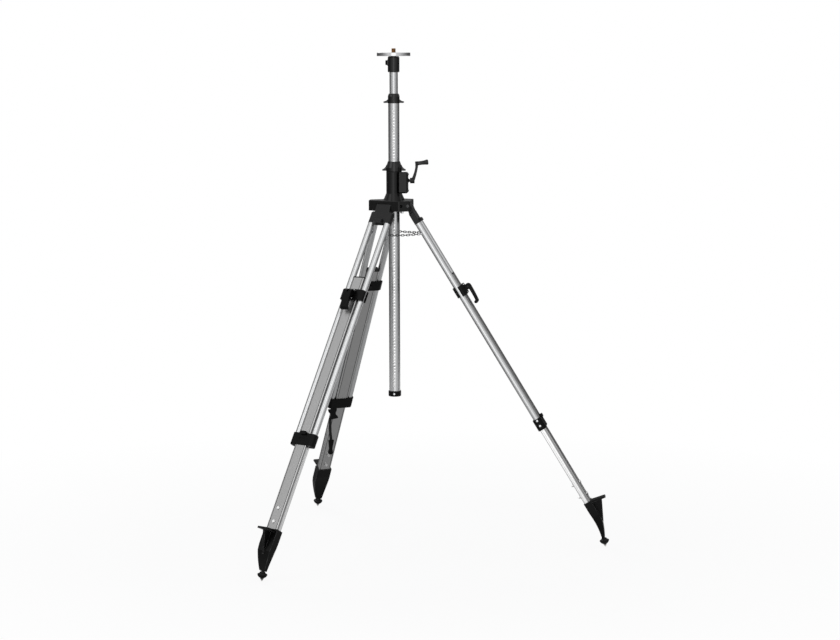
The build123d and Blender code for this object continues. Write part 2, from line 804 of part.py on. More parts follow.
def crown_plate():
    """Three-sided plate with a hinge slot for each leg."""
    half = (CORNER_REACH - HINGE_EDGE * cos(pi / 3)) / sin(pi / 3)
    height = CROWN_ABOVE + CROWN_BELOW
    swing = EAR_R + SLOT_CLEAR
    corners = []
    for azimuth in sorted(LEGS.values()):
        a = radians(azimuth)
        for t in (-half, half):
            corners.append((HINGE_EDGE * cos(a) - t * sin(a), HINGE_EDGE * sin(a) + t * cos(a)))
    with BuildPart() as crown:
        with BuildSketch(Plane.XY.offset(CROWN_LOW)):
            outline(corners)
            fillet(vertices(), CORNER_ROUND)
        extrude(amount=height)
        chamfer(crown.faces().sort_by(Axis.Z)[-1].edges(), 1.5)
        for azimuth in LEGS.values():
            upright = hinge_upright(azimuth)
            with BuildSketch(upright):
                with Locations((HINGE_RADIUS, 0)):
                    Circle(swing)
                outline(
                    [
                        (SLOT_INNER, -CROWN_BELOW - 1),
                        (SLOT_INNER, -CROWN_BELOW / 3),
                        (HINGE_RADIUS - swing, 0),
                        (HINGE_EDGE + 2, 4),
                        (HINGE_EDGE + 2, -CROWN_BELOW - 1),
                    ]
                )
            extrude(amount=CHEEK_GAP, both=True, mode=Mode.SUBTRACT)
            with BuildSketch(upright):
                with Locations((HINGE_RADIUS, 0)):
                    Circle(PIN_R + FIXED)
            extrude(amount=CORNER_REACH, both=True, mode=Mode.SUBTRACT)
            for way in (1, -1):
                with BuildSketch(upright.offset(PIN_HALF * way)):
                    with Locations((HINGE_RADIUS, 0)):
                        Circle(PIN_HEAD_R + RUNNING)
                extrude(amount=PIN_HALF * way, mode=Mode.SUBTRACT)
        with BuildSketch(Plane.XY.offset(CROWN_LOW)):
            Circle(HUB_BORE)
        extrude(amount=height, mode=Mode.SUBTRACT)
    return crown.part


def hinge_pins():
    """The three hinge pins, each with a head at both ends."""
    with BuildPart() as pins:
        for azimuth in LEGS.values():
            upright = hinge_upright(azimuth)
            with BuildSketch(upright):
                with Locations((HINGE_RADIUS, 0)):
                    Circle(PIN_R)
            extrude(amount=PIN_HALF, both=True)
            for way in (1, -1):
                with BuildSketch(upright.offset(PIN_HALF * way)):
                    with Locations((HINGE_RADIUS, 0)):
                        Circle(PIN_HEAD_R)
                extrude(amount=PIN_HEAD * way)
    return pins.part


def housing():
    """Tower over the crown: column guide, pinion chamber, flared base, threaded neck."""
    chamber_r = PITCH_R + TOOTH_ADD + CHAMBER_CLEAR
    front = SHAFT_Y - chamber_r - CHAMBER_WALL
    bore = COLUMN_R + 1
    with BuildPart() as tower:
        with BuildSketch(Plane.XZ):
            outline(
                [
                    (COLUMN_R, CROWN_TOP),
                    (CONE_R, CROWN_TOP),
                    (CONE_R, CROWN_TOP + 4),
                    (HOUSING_R, CONE_TOP),
                    (HOUSING_R, HOUSING_TOP),
                    (COLUMN_R + NECK_WALL, HOUSING_TOP),
                    (COLUMN_R + NECK_WALL, HOUSING_TOP + NECK_RISE),
                    (COLUMN_R, HOUSING_TOP + NECK_RISE),
                ]
            )
        revolve(axis=Axis.Z)
        for rise, lean in ((HOUSING_TOP - CONE_TOP - 2, 0), (CROWN_TOP - CONE_TOP, -TOWER_FLARE)):
            with BuildSketch(Plane.XY.offset(CONE_TOP)):
                with Locations((TOWER_SHIFT, (front + TOWER_WIDE / 2) / 2)):
                    SlotOverall(TOWER_WIDE / 2 - front, TOWER_WIDE, rotation=90)
            extrude(amount=rise, taper=lean)
        with BuildSketch(Plane.XY.offset(CROWN_TOP)):
            Circle(HUB_BORE)
        extrude(amount=HOUSING_TOP - CROWN_TOP - BUSH_SHOULDER, mode=Mode.SUBTRACT)
        with BuildSketch(Plane.XY.offset(CROWN_TOP)):
            Circle(bore)
        extrude(amount=HOUSING_TOP - CROWN_TOP + NECK_RISE + 1, mode=Mode.SUBTRACT)
        with BuildSketch(Plane.YZ):
            with Locations((SHAFT_Y, SHAFT_Z)):
                Circle(chamber_r)
        extrude(amount=CHAMBER_HALF, both=True, mode=Mode.SUBTRACT)
        with BuildSketch(Plane.YZ.offset(-SHAFT_BLIND - 1)):
            with Locations((SHAFT_Y, SHAFT_Z)):
                Circle(SHAFT_R + RUNNING)
        extrude(amount=SHAFT_BLIND + BOX_END, mode=Mode.SUBTRACT)
    return tower.part


def gear_box():
    """Box on the tower's right side with the crank shaft's bearing and boss."""
    boss = BOX_END + BOSS_RISE
    with BuildPart() as box:
        with BuildSketch(Plane.YZ.offset(BOX_START)):
            with Locations((SHAFT_Y - 1, (CONE_TOP + HOUSING_TOP) / 2)):
                RectangleRounded(BOX_WIDE, HOUSING_TOP - CONE_TOP - 3, 6)
        extrude(amount=BOX_END - BOX_START)
        chamfer(box.faces().sort_by(Axis.X)[-1].edges(), 4)
        with BuildSketch(Plane.XZ.offset(-SHAFT_Y)):
            outline(
                [
                    (BOX_END - 2, SHAFT_Z + 2),
                    (BOX_END - 2, SHAFT_Z + BOSS_R),
                    (BOX_END, SHAFT_Z + BOSS_R),
                    (boss, SHAFT_Z + BOSS_R - BOSS_RISE),
                    (boss, SHAFT_Z + 2),
                ]
            )
        revolve(axis=Axis((0, SHAFT_Y, SHAFT_Z), (1, 0, 0)))
        with BuildSketch(Plane.YZ):
            with Locations((SHAFT_Y, SHAFT_Z)):
                Circle(SHAFT_R + RUNNING)
        extrude(amount=boss + 1, mode=Mode.SUBTRACT)
    return box.part


def guide_bushes():
    """Two plain bushes that guide the column in the tower and the crown."""
    tower_top = HOUSING_TOP - BUSH_SHOULDER
    with BuildPart() as bushes:
        for low in (CROWN_LOW, tower_top - BUSH_LENGTH):
            with BuildSketch(Plane.XY.offset(low)):
                Circle(HUB_BORE - FIXED)
                Circle(COLUMN_R + RUNNING, mode=Mode.SUBTRACT)
                with Locations((0, -HUB_BORE)):
                    Rectangle(RACK_WIDTH + 4, 2 * (HUB_BORE - COLUMN_R) + 4, mode=Mode.SUBTRACT)
            extrude(amount=BUSH_LENGTH)
    return bushes.part


def pinion_shaft():
    """Crank shaft with the pinion cut on it, a tooth gap facing the rack."""
    root = PITCH_R - TOOTH_DED + 0.2
    tip = PITCH_R + TOOTH_ADD - 0.1
    with BuildPart() as shaft:
        with BuildSketch(Plane.YZ.offset(-PINION_HALF)):
            with Locations((SHAFT_Y, SHAFT_Z)):
                Circle(root)
                with PolarLocations(0, PINION_TEETH, start_angle=180 / PINION_TEETH):
                    outline(
                        [
                            (root - 2, -TOOTH_ROOT),
                            (root, -TOOTH_ROOT),
                            (PITCH_R, -TOOTH_MID),
                            (tip, -TOOTH_TIP),
                            (tip, TOOTH_TIP),
                            (PITCH_R, TOOTH_MID),
                            (root, TOOTH_ROOT),
                            (root - 2, TOOTH_ROOT),
                        ]
                    )
        extrude(amount=2 * PINION_HALF)
        with BuildSketch(Plane.YZ.offset(-SHAFT_BLIND)):
            with Locations((SHAFT_Y, SHAFT_Z)):
                Circle(SHAFT_R)
        extrude(amount=HUB_X + SHAFT_IN_HUB + SHAFT_BLIND)
    return shaft.part


def grip_plane():
    """Plane across the crank's grip pin, at the arm's end."""
    lean = radians(GRIP_TILT)
    eye = (HUB_X + ARM_SHIFT, SHAFT_Y, SHAFT_Z + CRANK_ARM)
    return Plane(origin=eye, x_dir=(-sin(lean), 0, cos(lean)), z_dir=(cos(lean), 0, sin(lean)))


def crank_arm():
    """Cranked arm with a hub on the shaft and a pin for the grip."""
    top = SHAFT_Z + CRANK_ARM
    hub_start = HUB_X - 8
    inner_foot = (hub_start, SHAFT_Z - 2)
    inner_top = (HUB_X + ARM_SHIFT - 5, top - EYE_R - 5)
    outer_top = (HUB_X + ARM_SHIFT + 3.7, top - EYE_R - 3)
    outer_foot = (hub_start + HUB_LONG, SHAFT_Z - 2)
    with BuildPart() as arm:
        with BuildSketch(Plane.YZ.offset(hub_start)):
            with Locations((SHAFT_Y, SHAFT_Z)):
                Circle(HUB_R)
        extrude(amount=HUB_LONG)
        with BuildSketch(Plane.XZ.offset(-SHAFT_Y)):
            with BuildLine():
                Spline(inner_foot, (HUB_X + 5, SHAFT_Z + 0.4 * CRANK_ARM), inner_top)
                Polyline(inner_top, (inner_top[0], top), (outer_top[0], top), outer_top)
                Spline(outer_top, (HUB_X + ARM_SHIFT, SHAFT_Z + 0.5 * CRANK_ARM), outer_foot)
                Line(outer_foot, inner_foot)
            make_face()
        extrude(amount=ARM_HALF, both=True)
        with BuildSketch(grip_plane().offset(-5)):
            Circle(EYE_R)
        extrude(amount=9)
        with BuildSketch(grip_plane()):
            Circle(GRIP_PIN_R)
        extrude(amount=GRIP_LENGTH + 2)
        with BuildSketch(Plane.YZ.offset(hub_start - 1)):
            with Locations((SHAFT_Y, SHAFT_Z)):
                Circle(SHAFT_R + FIXED)
        extrude(amount=HUB_X + SHAFT_IN_HUB - hub_start + 1, mode=Mode.SUBTRACT)
    return arm.part


def crank_grip():
    """Flared grip that spins on the crank's pin."""
    axis = grip_plane()
    bore = GRIP_PIN_R + RUNNING
    flare = GRIP_R + GRIP_FLARE
    inner_end = GRIP_LENGTH + 2.4
    outer_end = GRIP_LENGTH + 4
    with BuildPart() as grip:
        with BuildSketch(Plane(origin=axis.origin, x_dir=axis.x_dir, z_dir=-axis.y_dir)):
            with BuildLine():
                Polyline((bore, GRIP_START), (GRIP_R, GRIP_START), (GRIP_R, GRIP_START + 3))
                Spline((GRIP_R, GRIP_START + 3), (GRIP_R, GRIP_START + 14), (flare, GRIP_LENGTH))
                Polyline((flare, GRIP_LENGTH), (flare - 1.5, GRIP_LENGTH + 3), (0, outer_end))
                Polyline((0, outer_end), (0, inner_end), (bore, inner_end))
                Line((bore, inner_end), (bore, GRIP_START))
            make_face()
        revolve(axis=Axis(axis.origin, axis.z_dir))
    return grip.part


def outer_tube():
    """Column tube with a groove for the rack and a neck for the upper lock."""
    groove = RACK_SINK + TOOTH_DED + RACK_BACK + FIXED
    with BuildPart() as tube:
        with BuildSketch(Plane.XY.offset(COLUMN_FOOT)):
            Circle(COLUMN_R)
        extrude(amount=COLUMN_LENGTH)
        with BuildSketch(Plane.XY.offset(COLUMN_TOP)):
            Circle(COLUMN_NECK_R)
        extrude(amount=NECK_LENGTH)
        with BuildSketch(Plane.XY.offset(COLUMN_FOOT)):
            Circle(COLUMN_BORE)
        extrude(amount=COLUMN_LENGTH + NECK_LENGTH, mode=Mode.SUBTRACT)
        with BuildSketch(Plane.XY.offset(RACK_LOW)):
            with Locations((0, -COLUMN_R)):
                Rectangle(RACK_WIDTH + 2 * FIXED, 2 * groove)
        extrude(amount=RACK_TEETH * RACK_PITCH, mode=Mode.SUBTRACT)
    return tube.part


def rack_strip():
    """Toothed strip in the column's groove, one tooth facing the pinion at rest."""
    flank = tan(radians(FLANK_LEAN))
    tip_y = -RACK_LINE - TOOTH_ADD
    root_y = -RACK_LINE + TOOTH_DED
    back_y = root_y + RACK_BACK
    root_half = TOOTH_HALF + TOOTH_DED * flank
    tip_half = TOOTH_HALF - TOOTH_ADD * flank
    top = RACK_LOW + RACK_TEETH * RACK_PITCH
    first = SHAFT_Z - RACK_PITCH * int((SHAFT_Z - RACK_LOW) / RACK_PITCH - 0.5)
    points = [(back_y, top), (back_y, RACK_LOW), (root_y, RACK_LOW)]
    for k in range(RACK_TEETH - 1):
        z = first + k * RACK_PITCH
        points.append((root_y, z - root_half))
        points.append((tip_y, z - tip_half))
        points.append((tip_y, z + tip_half))
        points.append((root_y, z + root_half))
    points.append((root_y, top))
    with BuildPart() as rack:
        with BuildSketch(Plane.YZ):
            outline(points)
        extrude(amount=RACK_WIDTH / 2, both=True)
    return rack.part


def end_cap():
    """Cap on the column's lower end."""
    with BuildPart() as cap:
        with BuildSketch(Plane.XY.offset(CAP_BOTTOM)):
            Circle(CAP_R)
        extrude(amount=CAP_HEIGHT)
        fillet(cap.faces().sort_by(Axis.Z)[0].edges(), CAP_LAP)
        with BuildSketch(Plane.XY.offset(COLUMN_FOOT)):
            Circle(COLUMN_R + FIXED)
        extrude(amount=CAP_LAP, mode=Mode.SUBTRACT)
        with BuildSketch(Plane.XY.offset(COLUMN_FOOT)):
            Circle(COLUMN_BORE - FIXED)
        extrude(amount=CAP_PLUG)
    return cap.part


def wing(way, root, reach, low, rise):
    """One wing of a lock collar inside a sketch: hollowed upper edge, round tip."""
    tip_x = reach - WING_TIP / 2
    run = tip_x - root
    fall = rise - WING_TIP
    chord = (run**2 + fall**2) ** 0.5
    lift = (WING_BOW**2 - (chord / 2) ** 2) ** 0.5 / chord
    bow = (root + run / 2 + fall * lift, low + rise - fall / 2 + run * lift)
    outline(
        [
            (way * (root - 4), low),
            (way * (root - 4), low + rise),
            (way * root, low + rise),
            (way * tip_x, low + WING_TIP),
            (way * tip_x, low),
        ]
    )
    with Locations((way * bow[0], bow[1])):
        Circle(WING_BOW, mode=Mode.SUBTRACT)
    with Locations((way * tip_x, low + WING_TIP / 2)):
        Circle(WING_TIP / 2)


def lower_lock_collar():
    """Winged nut on the tower's neck that locks the column."""
    low = HOUSING_TOP + LOCK_GAP
    high = HOUSING_TOP + LOW_LOCK_RISE
    step = HOUSING_TOP + NECK_RISE + 1
    bore = COLUMN_R + LOCK_BORE
    thread = COLUMN_R + NECK_WALL + RUNNING
    skirt = thread + LOW_LOCK_WALL
    with BuildPart() as collar:
        with BuildSketch(Plane.XZ):
            outline(
                [
                    (bore, step),
                    (bore, high),
                    (bore + 1.7, high),
                    (skirt - 1, low + 17),
                    (skirt, low + 12),
                    (skirt, low),
                    (thread, low),
                    (thread, step),
                ]
            )
        revolve(axis=Axis.Z)
        for way in (1, -1):
            with BuildSketch(Plane.XZ):
                wing(way, skirt - 1, LOW_WING_REACH, low + 1, LOW_WING_RISE)
            extrude(amount=WING_HALF, both=True)
        with BuildSketch(Plane.XY.offset(low)):
            Circle(thread)
        extrude(amount=step - low, mode=Mode.SUBTRACT)
    return collar.part


def upper_lock_collar():
    """Winged nut on the column's neck that locks the inner tube."""
    low = COLUMN_TOP + LOCK_GAP
    high = COLUMN_TOP + TOP_LOCK_RISE
    step = COLUMN_TOP + NECK_LENGTH + 1
    bore = INNER_TUBE_R + LOCK_BORE
    thread = COLUMN_NECK_R + RUNNING
    skirt = thread + TOP_LOCK_WALL
    with BuildPart() as collar:
        with BuildSketch(Plane.XZ):
            with BuildLine():
                Polyline((skirt, low), (thread, low), (thread, step), (bore, step), (bore, high))
                Line((bore, high), (bore + 1.7, high))
                ThreePointArc((bore + 1.7, high), (skirt - 1.6, high - 5), (skirt - 0.3, high - 13))
                Line((skirt - 0.3, high - 13), (skirt, low))
            make_face()
        revolve(axis=Axis.Z)
        for way in (1, -1):
            with BuildSketch(Plane.XZ):
                wing(way, skirt - 1, TOP_WING_REACH, low + 1, TOP_WING_RISE)
            extrude(amount=WING_HALF, both=True)
        with BuildSketch(Plane.XY.offset(low)):
            Circle(thread)
        extrude(amount=step - low, mode=Mode.SUBTRACT)
    return collar.part


def inner_tube():
    """Tube that slides in the column and carries the head."""
    with BuildPart() as tube:
        with BuildSketch(Plane.XY.offset(INNER_TUBE_LOW)):
            Circle(INNER_TUBE_R)
            Circle(INNER_TUBE_R - INNER_TUBE_WALL, mode=Mode.SUBTRACT)
        extrude(amount=HEAD_LOW + TUBE_SOCKET - INNER_TUBE_LOW)
    return tube.part


def head_clamp():
    """Body on the inner tube that holds the head's spigot."""
    socket = HEAD_LOW + TUBE_SOCKET
    pad = HEAD_R + 1
    with BuildPart() as body:
        with BuildSketch(Plane.XZ):
            outline(
                [
                    (SPIGOT_R + RUNNING, socket),
                    (SPIGOT_R + RUNNING, HEAD_HIGH),
                    (HEAD_R - 3, HEAD_HIGH),
                    (HEAD_R, HEAD_HIGH - 5),
                    (HEAD_R, HEAD_LOW + 3),
                    (HEAD_R - 1.5, HEAD_LOW),
                    (INNER_TUBE_R + FIXED, HEAD_LOW),
                    (INNER_TUBE_R + FIXED, socket),
                ]
            )
        revolve(axis=Axis.Z)
        with BuildSketch(Plane.YZ.offset(-pad)):
            with Locations((0, KNOB_Z)):
                RectangleRounded(2 * KNOB_R, 2 * KNOB_R + 2, 3)
        extrude(amount=pad - SPIGOT_R - 2)
        with BuildSketch(Plane.YZ):
            with Locations((0, KNOB_Z)):
                Circle(KNOB_SCREW_R + RUNNING)
        extrude(amount=-pad - 1, mode=Mode.SUBTRACT)
    return body.part


def head_knob():
    """Clamp knob on the head's left side."""
    start = HEAD_R + KNOB_GAP
    screw_end = SPIGOT_R + LOCK_GAP
    with BuildPart() as knob:
        with BuildSketch(Plane.YZ.offset(-screw_end)):
            with Locations((0, KNOB_Z)):
                Circle(KNOB_SCREW_R)
        extrude(amount=screw_end - start - KNOB_LONG / 2)
        with BuildSketch(Plane.YZ.offset(-start)):
            with Locations((0, KNOB_Z)):
                RegularPolygon(KNOB_R, 6)
        extrude(amount=-KNOB_LONG)
        chamfer(knob.faces().sort_by(Axis.X)[0].edges(), 1.2)
    return knob.part


def head_plate():
    """Round head with its spigot and slots, the seat for an instrument, recessed round the stud."""
    spigot_low = HEAD_LOW + TUBE_SOCKET + SPIGOT_GAP
    with BuildPart() as plate:
        with BuildSketch(Plane.XY.offset(PLATE_LOW)):
            Circle(PLATE_R)
        extrude(amount=PLATE_THICK)
        fillet(plate.edges().filter_by(GeomType.CIRCLE), 1.5)
        with BuildSketch(Plane.XY.offset(spigot_low)):
            Circle(SPIGOT_R)
        extrude(amount=PLATE_LOW + 1 - spigot_low)
        with BuildSketch(Plane.XY.offset(PLATE_LOW - 1)):
            with PolarLocations(SLOT_RING, 6, start_angle=30):
                SlotOverall(20, 8, rotation=90)
        extrude(amount=PLATE_THICK + 2, mode=Mode.SUBTRACT)
        with BuildSketch(Plane.XY.offset(PLATE_TOP - STUD_ROOT)):
            Circle(STUD_ROOT_R)
        extrude(amount=STUD_ROOT, mode=Mode.SUBTRACT)
        with BuildSketch(Plane.XY.offset(PLATE_TOP - RECESS_DEEP)):
            Circle(STUD_R + RECESS_EDGE)
        extrude(amount=RECESS_DEEP, mode=Mode.SUBTRACT)
    return plate.part


def stud():
    """Brass instrument stud that stands in the head's recess."""
    with BuildPart() as screw:
        with BuildSketch(Plane.XY.offset(PLATE_TOP - STUD_ROOT)):
            Circle(STUD_ROOT_R - FIXED)
        extrude(amount=STUD_ROOT)
        with BuildSketch(Plane.XY.offset(PLATE_TOP - RECESS_DEEP)):
            Circle(STUD_R)
        extrude(amount=RECESS_DEEP + STUD_LENGTH)
        chamfer(screw.faces().sort_by(Axis.Z)[-1].edges(), 1.2)
    return screw.part


# Chains and strap


def chain_ends(azimuth, next_azimuth):
    """Points on the facing tubes of two legs where a chain's end rings are fixed."""
    start = leg_frame(azimuth).from_local_coords(Vector(0, TUBE_SET, -CHAIN_LEVEL))
    stop = leg_frame(next_azimuth).from_local_coords(Vector(0, -TUBE_SET, -CHAIN_LEVEL))
    along = (stop - start).normalized()
    lean = along.dot(leg_frame(azimuth).z_dir)
    inset = TUBE_R / (1 - lean**2) ** 0.5
    return start + along * inset, stop - along * inset


def link_corners(length, width):
    """Corners of a link's rim: straight sides and blunt ends."""
    cut = width / 2 * (1 - tan(pi / 8))
    x = length / 2
    y = width / 2
    return [
        (x, y - cut), (x - cut, y), (cut - x, y), (-x, y - cut),
        (-x, cut - y), (cut - x, -y), (x - cut, -y), (x, cut - y),
    ]


def spreader_chains():
    """Three slack chains of links, each turned against the last, with a stem on each tube."""
    azimuths = sorted(LEGS.values())
    upward = Vector(0, 0, 1)
    with BuildPart() as chains:
        for k, azimuth in enumerate(azimuths):
            start, stop = chain_ends(azimuth, azimuths[(k + 1) % 3])
            along = (stop - start).normalized()
            level = along.cross(upward)
            room = (stop - start).length - 2 * (STEM_LENGTH + LINK_WIRE) - LINK_PLAY
            hole = room / LINK_COUNT + LINK_PLAY
            for i in range(LINK_COUNT):
                share = (2 * i + 1) / LINK_COUNT - 1
                drop = upward * (CHAIN_SAG * (1 - share**2))
                centre = (start + stop) * 0.5 + along * (share * room / 2) - drop
                slope = along + upward * (4 * CHAIN_SAG * share / room)
                facing = level if i % 2 else slope.cross(level)
                with BuildSketch(Plane(origin=centre, x_dir=slope, z_dir=facing)):
                    outline(link_corners(hole + 2 * LINK_WIRE, LINK_WIDTH))
                    Rectangle(hole, LINK_WIDTH - 2 * LINK_WIRE, mode=Mode.SUBTRACT)
                extrude(amount=LINK_WIRE / 2, both=True)
            for foot, inward in ((start, along), (stop, -along)):
                with BuildSketch(Plane(origin=foot - inward * TUBE_WALL, z_dir=inward)):
                    Circle(STEM_R)
                extrude(amount=TUBE_WALL + STEM_LENGTH + LINK_WIRE / 2)
        for azimuth in azimuths:
            with BuildSketch(leg_frame(azimuth).offset(-CHAIN_LEVEL)):
                with tube_spots():
                    Circle(TUBE_R + STEM_SEAT)
            extrude(amount=TUBE_R, both=True, mode=Mode.SUBTRACT)
    return chains.part


def carry_strap():
    """Strap under the rear collar: a waisted tab, webbing and a moulded end piece."""
    frame = leg_frame(LEGS["rear"])
    sideways = frame.y_dir
    wall = (COLLAR_DEPTH - INNER_DEPTH) / 2
    hang = frame.from_local_coords(Vector((wall - COLLAR_DEPTH) / 2, STRAP_SIDE, -COLLAR_END))
    below = STRAP_THICK / 2 * tan(radians(SPLAY)) + 0.2
    flat = Plane(
        origin=hang - Vector(0, 0, below),
        x_dir=sideways,
        z_dir=sideways.cross(Vector(0, 0, -1)),
    )
    bulb = END_DROP - END_BULB
    waist = (STRAP_DROP + bulb) / 2
    with BuildPart() as strap:
        with BuildSketch(flat):
            with BuildLine():
                Line((-TAB_HALF, 0), (TAB_HALF, 0))
                ThreePointArc((TAB_HALF, 0), (TAB_WAIST, TAB_DROP / 2), (TAB_FOOT, TAB_DROP))
                Line((TAB_FOOT, TAB_DROP), (-TAB_FOOT, TAB_DROP))
                ThreePointArc((-TAB_FOOT, TAB_DROP), (-TAB_WAIST, TAB_DROP / 2), (-TAB_HALF, 0))
            make_face()
            with Locations((0, (TAB_DROP + STRAP_DROP) / 2)):
                Rectangle(2 * STRAP_HALF, STRAP_DROP - TAB_DROP)
        extrude(amount=STRAP_THICK / 2, both=True)
        with BuildSketch(flat):
            with BuildLine():
                Line((-END_HALF, STRAP_DROP), (END_HALF, STRAP_DROP))
                ThreePointArc((END_HALF, STRAP_DROP), (END_WAIST, waist), (END_BULB, bulb))
                ThreePointArc((END_BULB, bulb), (0, END_DROP), (-END_BULB, bulb))
                ThreePointArc((-END_BULB, bulb), (-END_WAIST, waist), (-END_HALF, STRAP_DROP))
            make_face()
        extrude(amount=STRAP_THICK, both=True)
    return strap.part


# Write every piece

for leg, azimuth in LEGS.items():
    save(hinge_block(azimuth), f"{leg}_hinge_block")
    save(leg_tube(azimuth, -TUBE_SET), f"{leg}_tube_left")
    save(leg_tube(azimuth, TUBE_SET), f"{leg}_tube_right")
    save(lower_collar(azimuth), f"{leg}_lower_collar")
    save(inner_leg(azimuth), f"{leg}_inner_leg")
    save(leg_plug(azimuth), f"{leg}_leg_plug")
    save(clamp_outer(azimuth), f"{leg}_clamp_outer")
    save(clamp_inner(azimuth), f"{leg}_clamp_inner")
    save(clamp_bolt(azimuth), f"{leg}_clamp_bolt")
    save(clamp_lever(azimuth), f"{leg}_clamp_lever")
    save(foot(azimuth), f"{leg}_foot")
    save(foot_point(azimuth), f"{leg}_foot_point")
    save(foot_bolts(azimuth), f"{leg}_foot_bolts")

save(crown_plate(), "crown")
save(hinge_pins(), "hinge_pins")
save(housing(), "housing")
save(gear_box(), "gear_box")
save(guide_bushes(), "guide_bushes")
save(pinion_shaft(), "pinion_shaft")
save(crank_arm(), "crank_arm")
save(crank_grip(), "crank_grip")
save(outer_tube(), "outer_tube")
save(rack_strip(), "rack")
save(end_cap(), "end_cap")
save(lower_lock_collar(), "lower_lock_collar")
save(upper_lock_collar(), "upper_lock_collar")
save(inner_tube(), "inner_tube")
save(head_clamp(), "head_clamp")
save(head_knob(), "head_knob")
save(head_plate(), "head_plate")
save(stud(), "stud")
save(spreader_chains(), "spreader_chains")
save(carry_strap(), "carry_strap")

print(len(NODES), "pieces; hinge height", round(PIN_Z, 2), "pinion radius", round(PITCH_R, 3))
print("shaft y", round(SHAFT_Y, 3), "crown", round(CROWN_LOW, 2), round(CROWN_TOP, 2))
print("head top", round(PLATE_TOP, 2), "rack teeth", RACK_TEETH)
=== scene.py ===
# %% [markdown]
# # An elevating surveying tripod
# The solids of the tripod come from its CAD model and are loaded as a fixed frame. This lesson
# gives every piece its finish, and adds what is too fine or too soft for the solids: chains of
# round wire, screws, a thread and a webbing strap.

# %% Load the frame
import json
import math
import bpy
import numpy as np
from mathutils import Matrix, Vector


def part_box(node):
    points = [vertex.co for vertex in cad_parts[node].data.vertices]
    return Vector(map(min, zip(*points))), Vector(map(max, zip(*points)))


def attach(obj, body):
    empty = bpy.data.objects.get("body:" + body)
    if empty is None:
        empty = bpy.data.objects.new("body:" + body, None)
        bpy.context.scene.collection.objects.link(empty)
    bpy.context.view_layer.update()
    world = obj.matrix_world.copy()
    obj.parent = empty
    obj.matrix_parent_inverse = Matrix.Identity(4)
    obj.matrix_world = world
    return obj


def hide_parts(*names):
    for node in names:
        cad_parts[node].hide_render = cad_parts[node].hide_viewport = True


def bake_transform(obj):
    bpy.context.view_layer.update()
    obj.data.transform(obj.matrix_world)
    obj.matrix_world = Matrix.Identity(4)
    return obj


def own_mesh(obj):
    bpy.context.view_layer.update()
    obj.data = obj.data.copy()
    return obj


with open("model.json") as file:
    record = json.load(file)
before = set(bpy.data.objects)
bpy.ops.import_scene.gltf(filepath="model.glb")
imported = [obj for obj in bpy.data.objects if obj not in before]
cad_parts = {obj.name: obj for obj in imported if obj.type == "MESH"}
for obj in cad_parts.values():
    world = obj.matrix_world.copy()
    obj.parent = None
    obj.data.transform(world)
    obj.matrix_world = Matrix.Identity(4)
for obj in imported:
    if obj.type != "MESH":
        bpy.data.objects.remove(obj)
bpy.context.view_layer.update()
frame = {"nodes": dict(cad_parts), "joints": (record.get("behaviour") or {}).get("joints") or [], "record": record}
NODES = frame["nodes"]
JOINTS = {joint["name"]: joint for joint in frame["joints"]}
LEGS = ("front", "right", "rear")
scene = bpy.context.scene
print(len(NODES), "solids and", len(JOINTS), "joints loaded")

# %% [markdown]
# Each leg leans, so work on a leg is easiest in the leg's own axes. Its hinge gives the sideways
# direction and its slide the direction down the leg; the third points out of the leg. Points are
# then written as (out, side, down) in metres from the middle of the leg, level with its pin.

# %% Leg axes from the joints
PIN_SET = 0.0036


def leg_axes(leg):
    """The leg's middle at its pin, then its axes: side and down of the joints, out = side x up."""
    side = np.array(JOINTS[leg + "_leg_fold"]["axis"], float)
    down = np.array(JOINTS[leg + "_leg_slide"]["axis"], float)
    out = np.cross(side, -down)
    return np.array(JOINTS[leg + "_leg_fold"]["pos_m"], float) - PIN_SET * out, out, side, down


def on_leg(leg, points):
    """World places of points given as rows of (out, side, down): middle + point . axes."""
    origin, out, side, down = leg_axes(leg)
    return origin + np.asarray(points, float) @ np.stack([out, side, down])


for leg in LEGS:
    print(leg, "leg points down along", np.round(leg_axes(leg)[3], 3))

# %% [markdown]
# ## Camera
# The photograph was taken from about eight and a half metres with a long lens, level with the
# tripod's head, looking slightly down and a hair out of true. The lens follows from the image's
# width and the focal length, both in pixels. The camera's axes are its right, its up and the way
# behind it.

# %% Camera
IMAGE_WIDTH = 840
FOCAL_PIXELS = 2334.3
SENSOR = 36.0
CAMERA_PLACE = Vector((0.935, -8.358, 1.787))
CAMERA_AZIMUTH = math.radians(95.755)
CAMERA_PITCH = math.radians(-6.545)
CAMERA_ROLL = math.radians(-0.15)

camera_data = bpy.data.cameras.new("camera")
camera_data.sensor_fit = "HORIZONTAL"
camera_data.sensor_width = SENSOR
camera_data.lens = FOCAL_PIXELS * SENSOR / IMAGE_WIDTH
camera = bpy.data.objects.new("camera", camera_data)
scene.collection.objects.link(camera)
look = Vector((
    math.cos(CAMERA_PITCH) * math.cos(CAMERA_AZIMUTH),
    math.cos(CAMERA_PITCH) * math.sin(CAMERA_AZIMUTH),
    math.sin(CAMERA_PITCH),
))
level = look.cross(Vector((0, 0, 1))).normalized()
tilt = level.cross(look)
right = math.cos(CAMERA_ROLL) * level + math.sin(CAMERA_ROLL) * tilt
camera.location = CAMERA_PLACE
camera.rotation_euler = Matrix((right, right.cross(look), -look)).transposed().to_euler()
scene.camera = camera
print("lens", round(camera_data.lens, 1), "mm")

# %% [markdown]
# ## Materials: the tools
# A finish is a small web of nodes, and short helpers keep it readable: put adds a node and links
# its inputs, place gives the spot on a piece as a pattern's coordinates, and noise is the pattern.
# Turning the coordinates into a leg's axes and stretching them makes grain that runs down a leg.
# In the names below, WAVES counts a pattern's waves in a metre, SMOOTHS and DULLS say how far it
# lowers and raises the roughness, and LOW and HIGH are the part of a noise that is used.

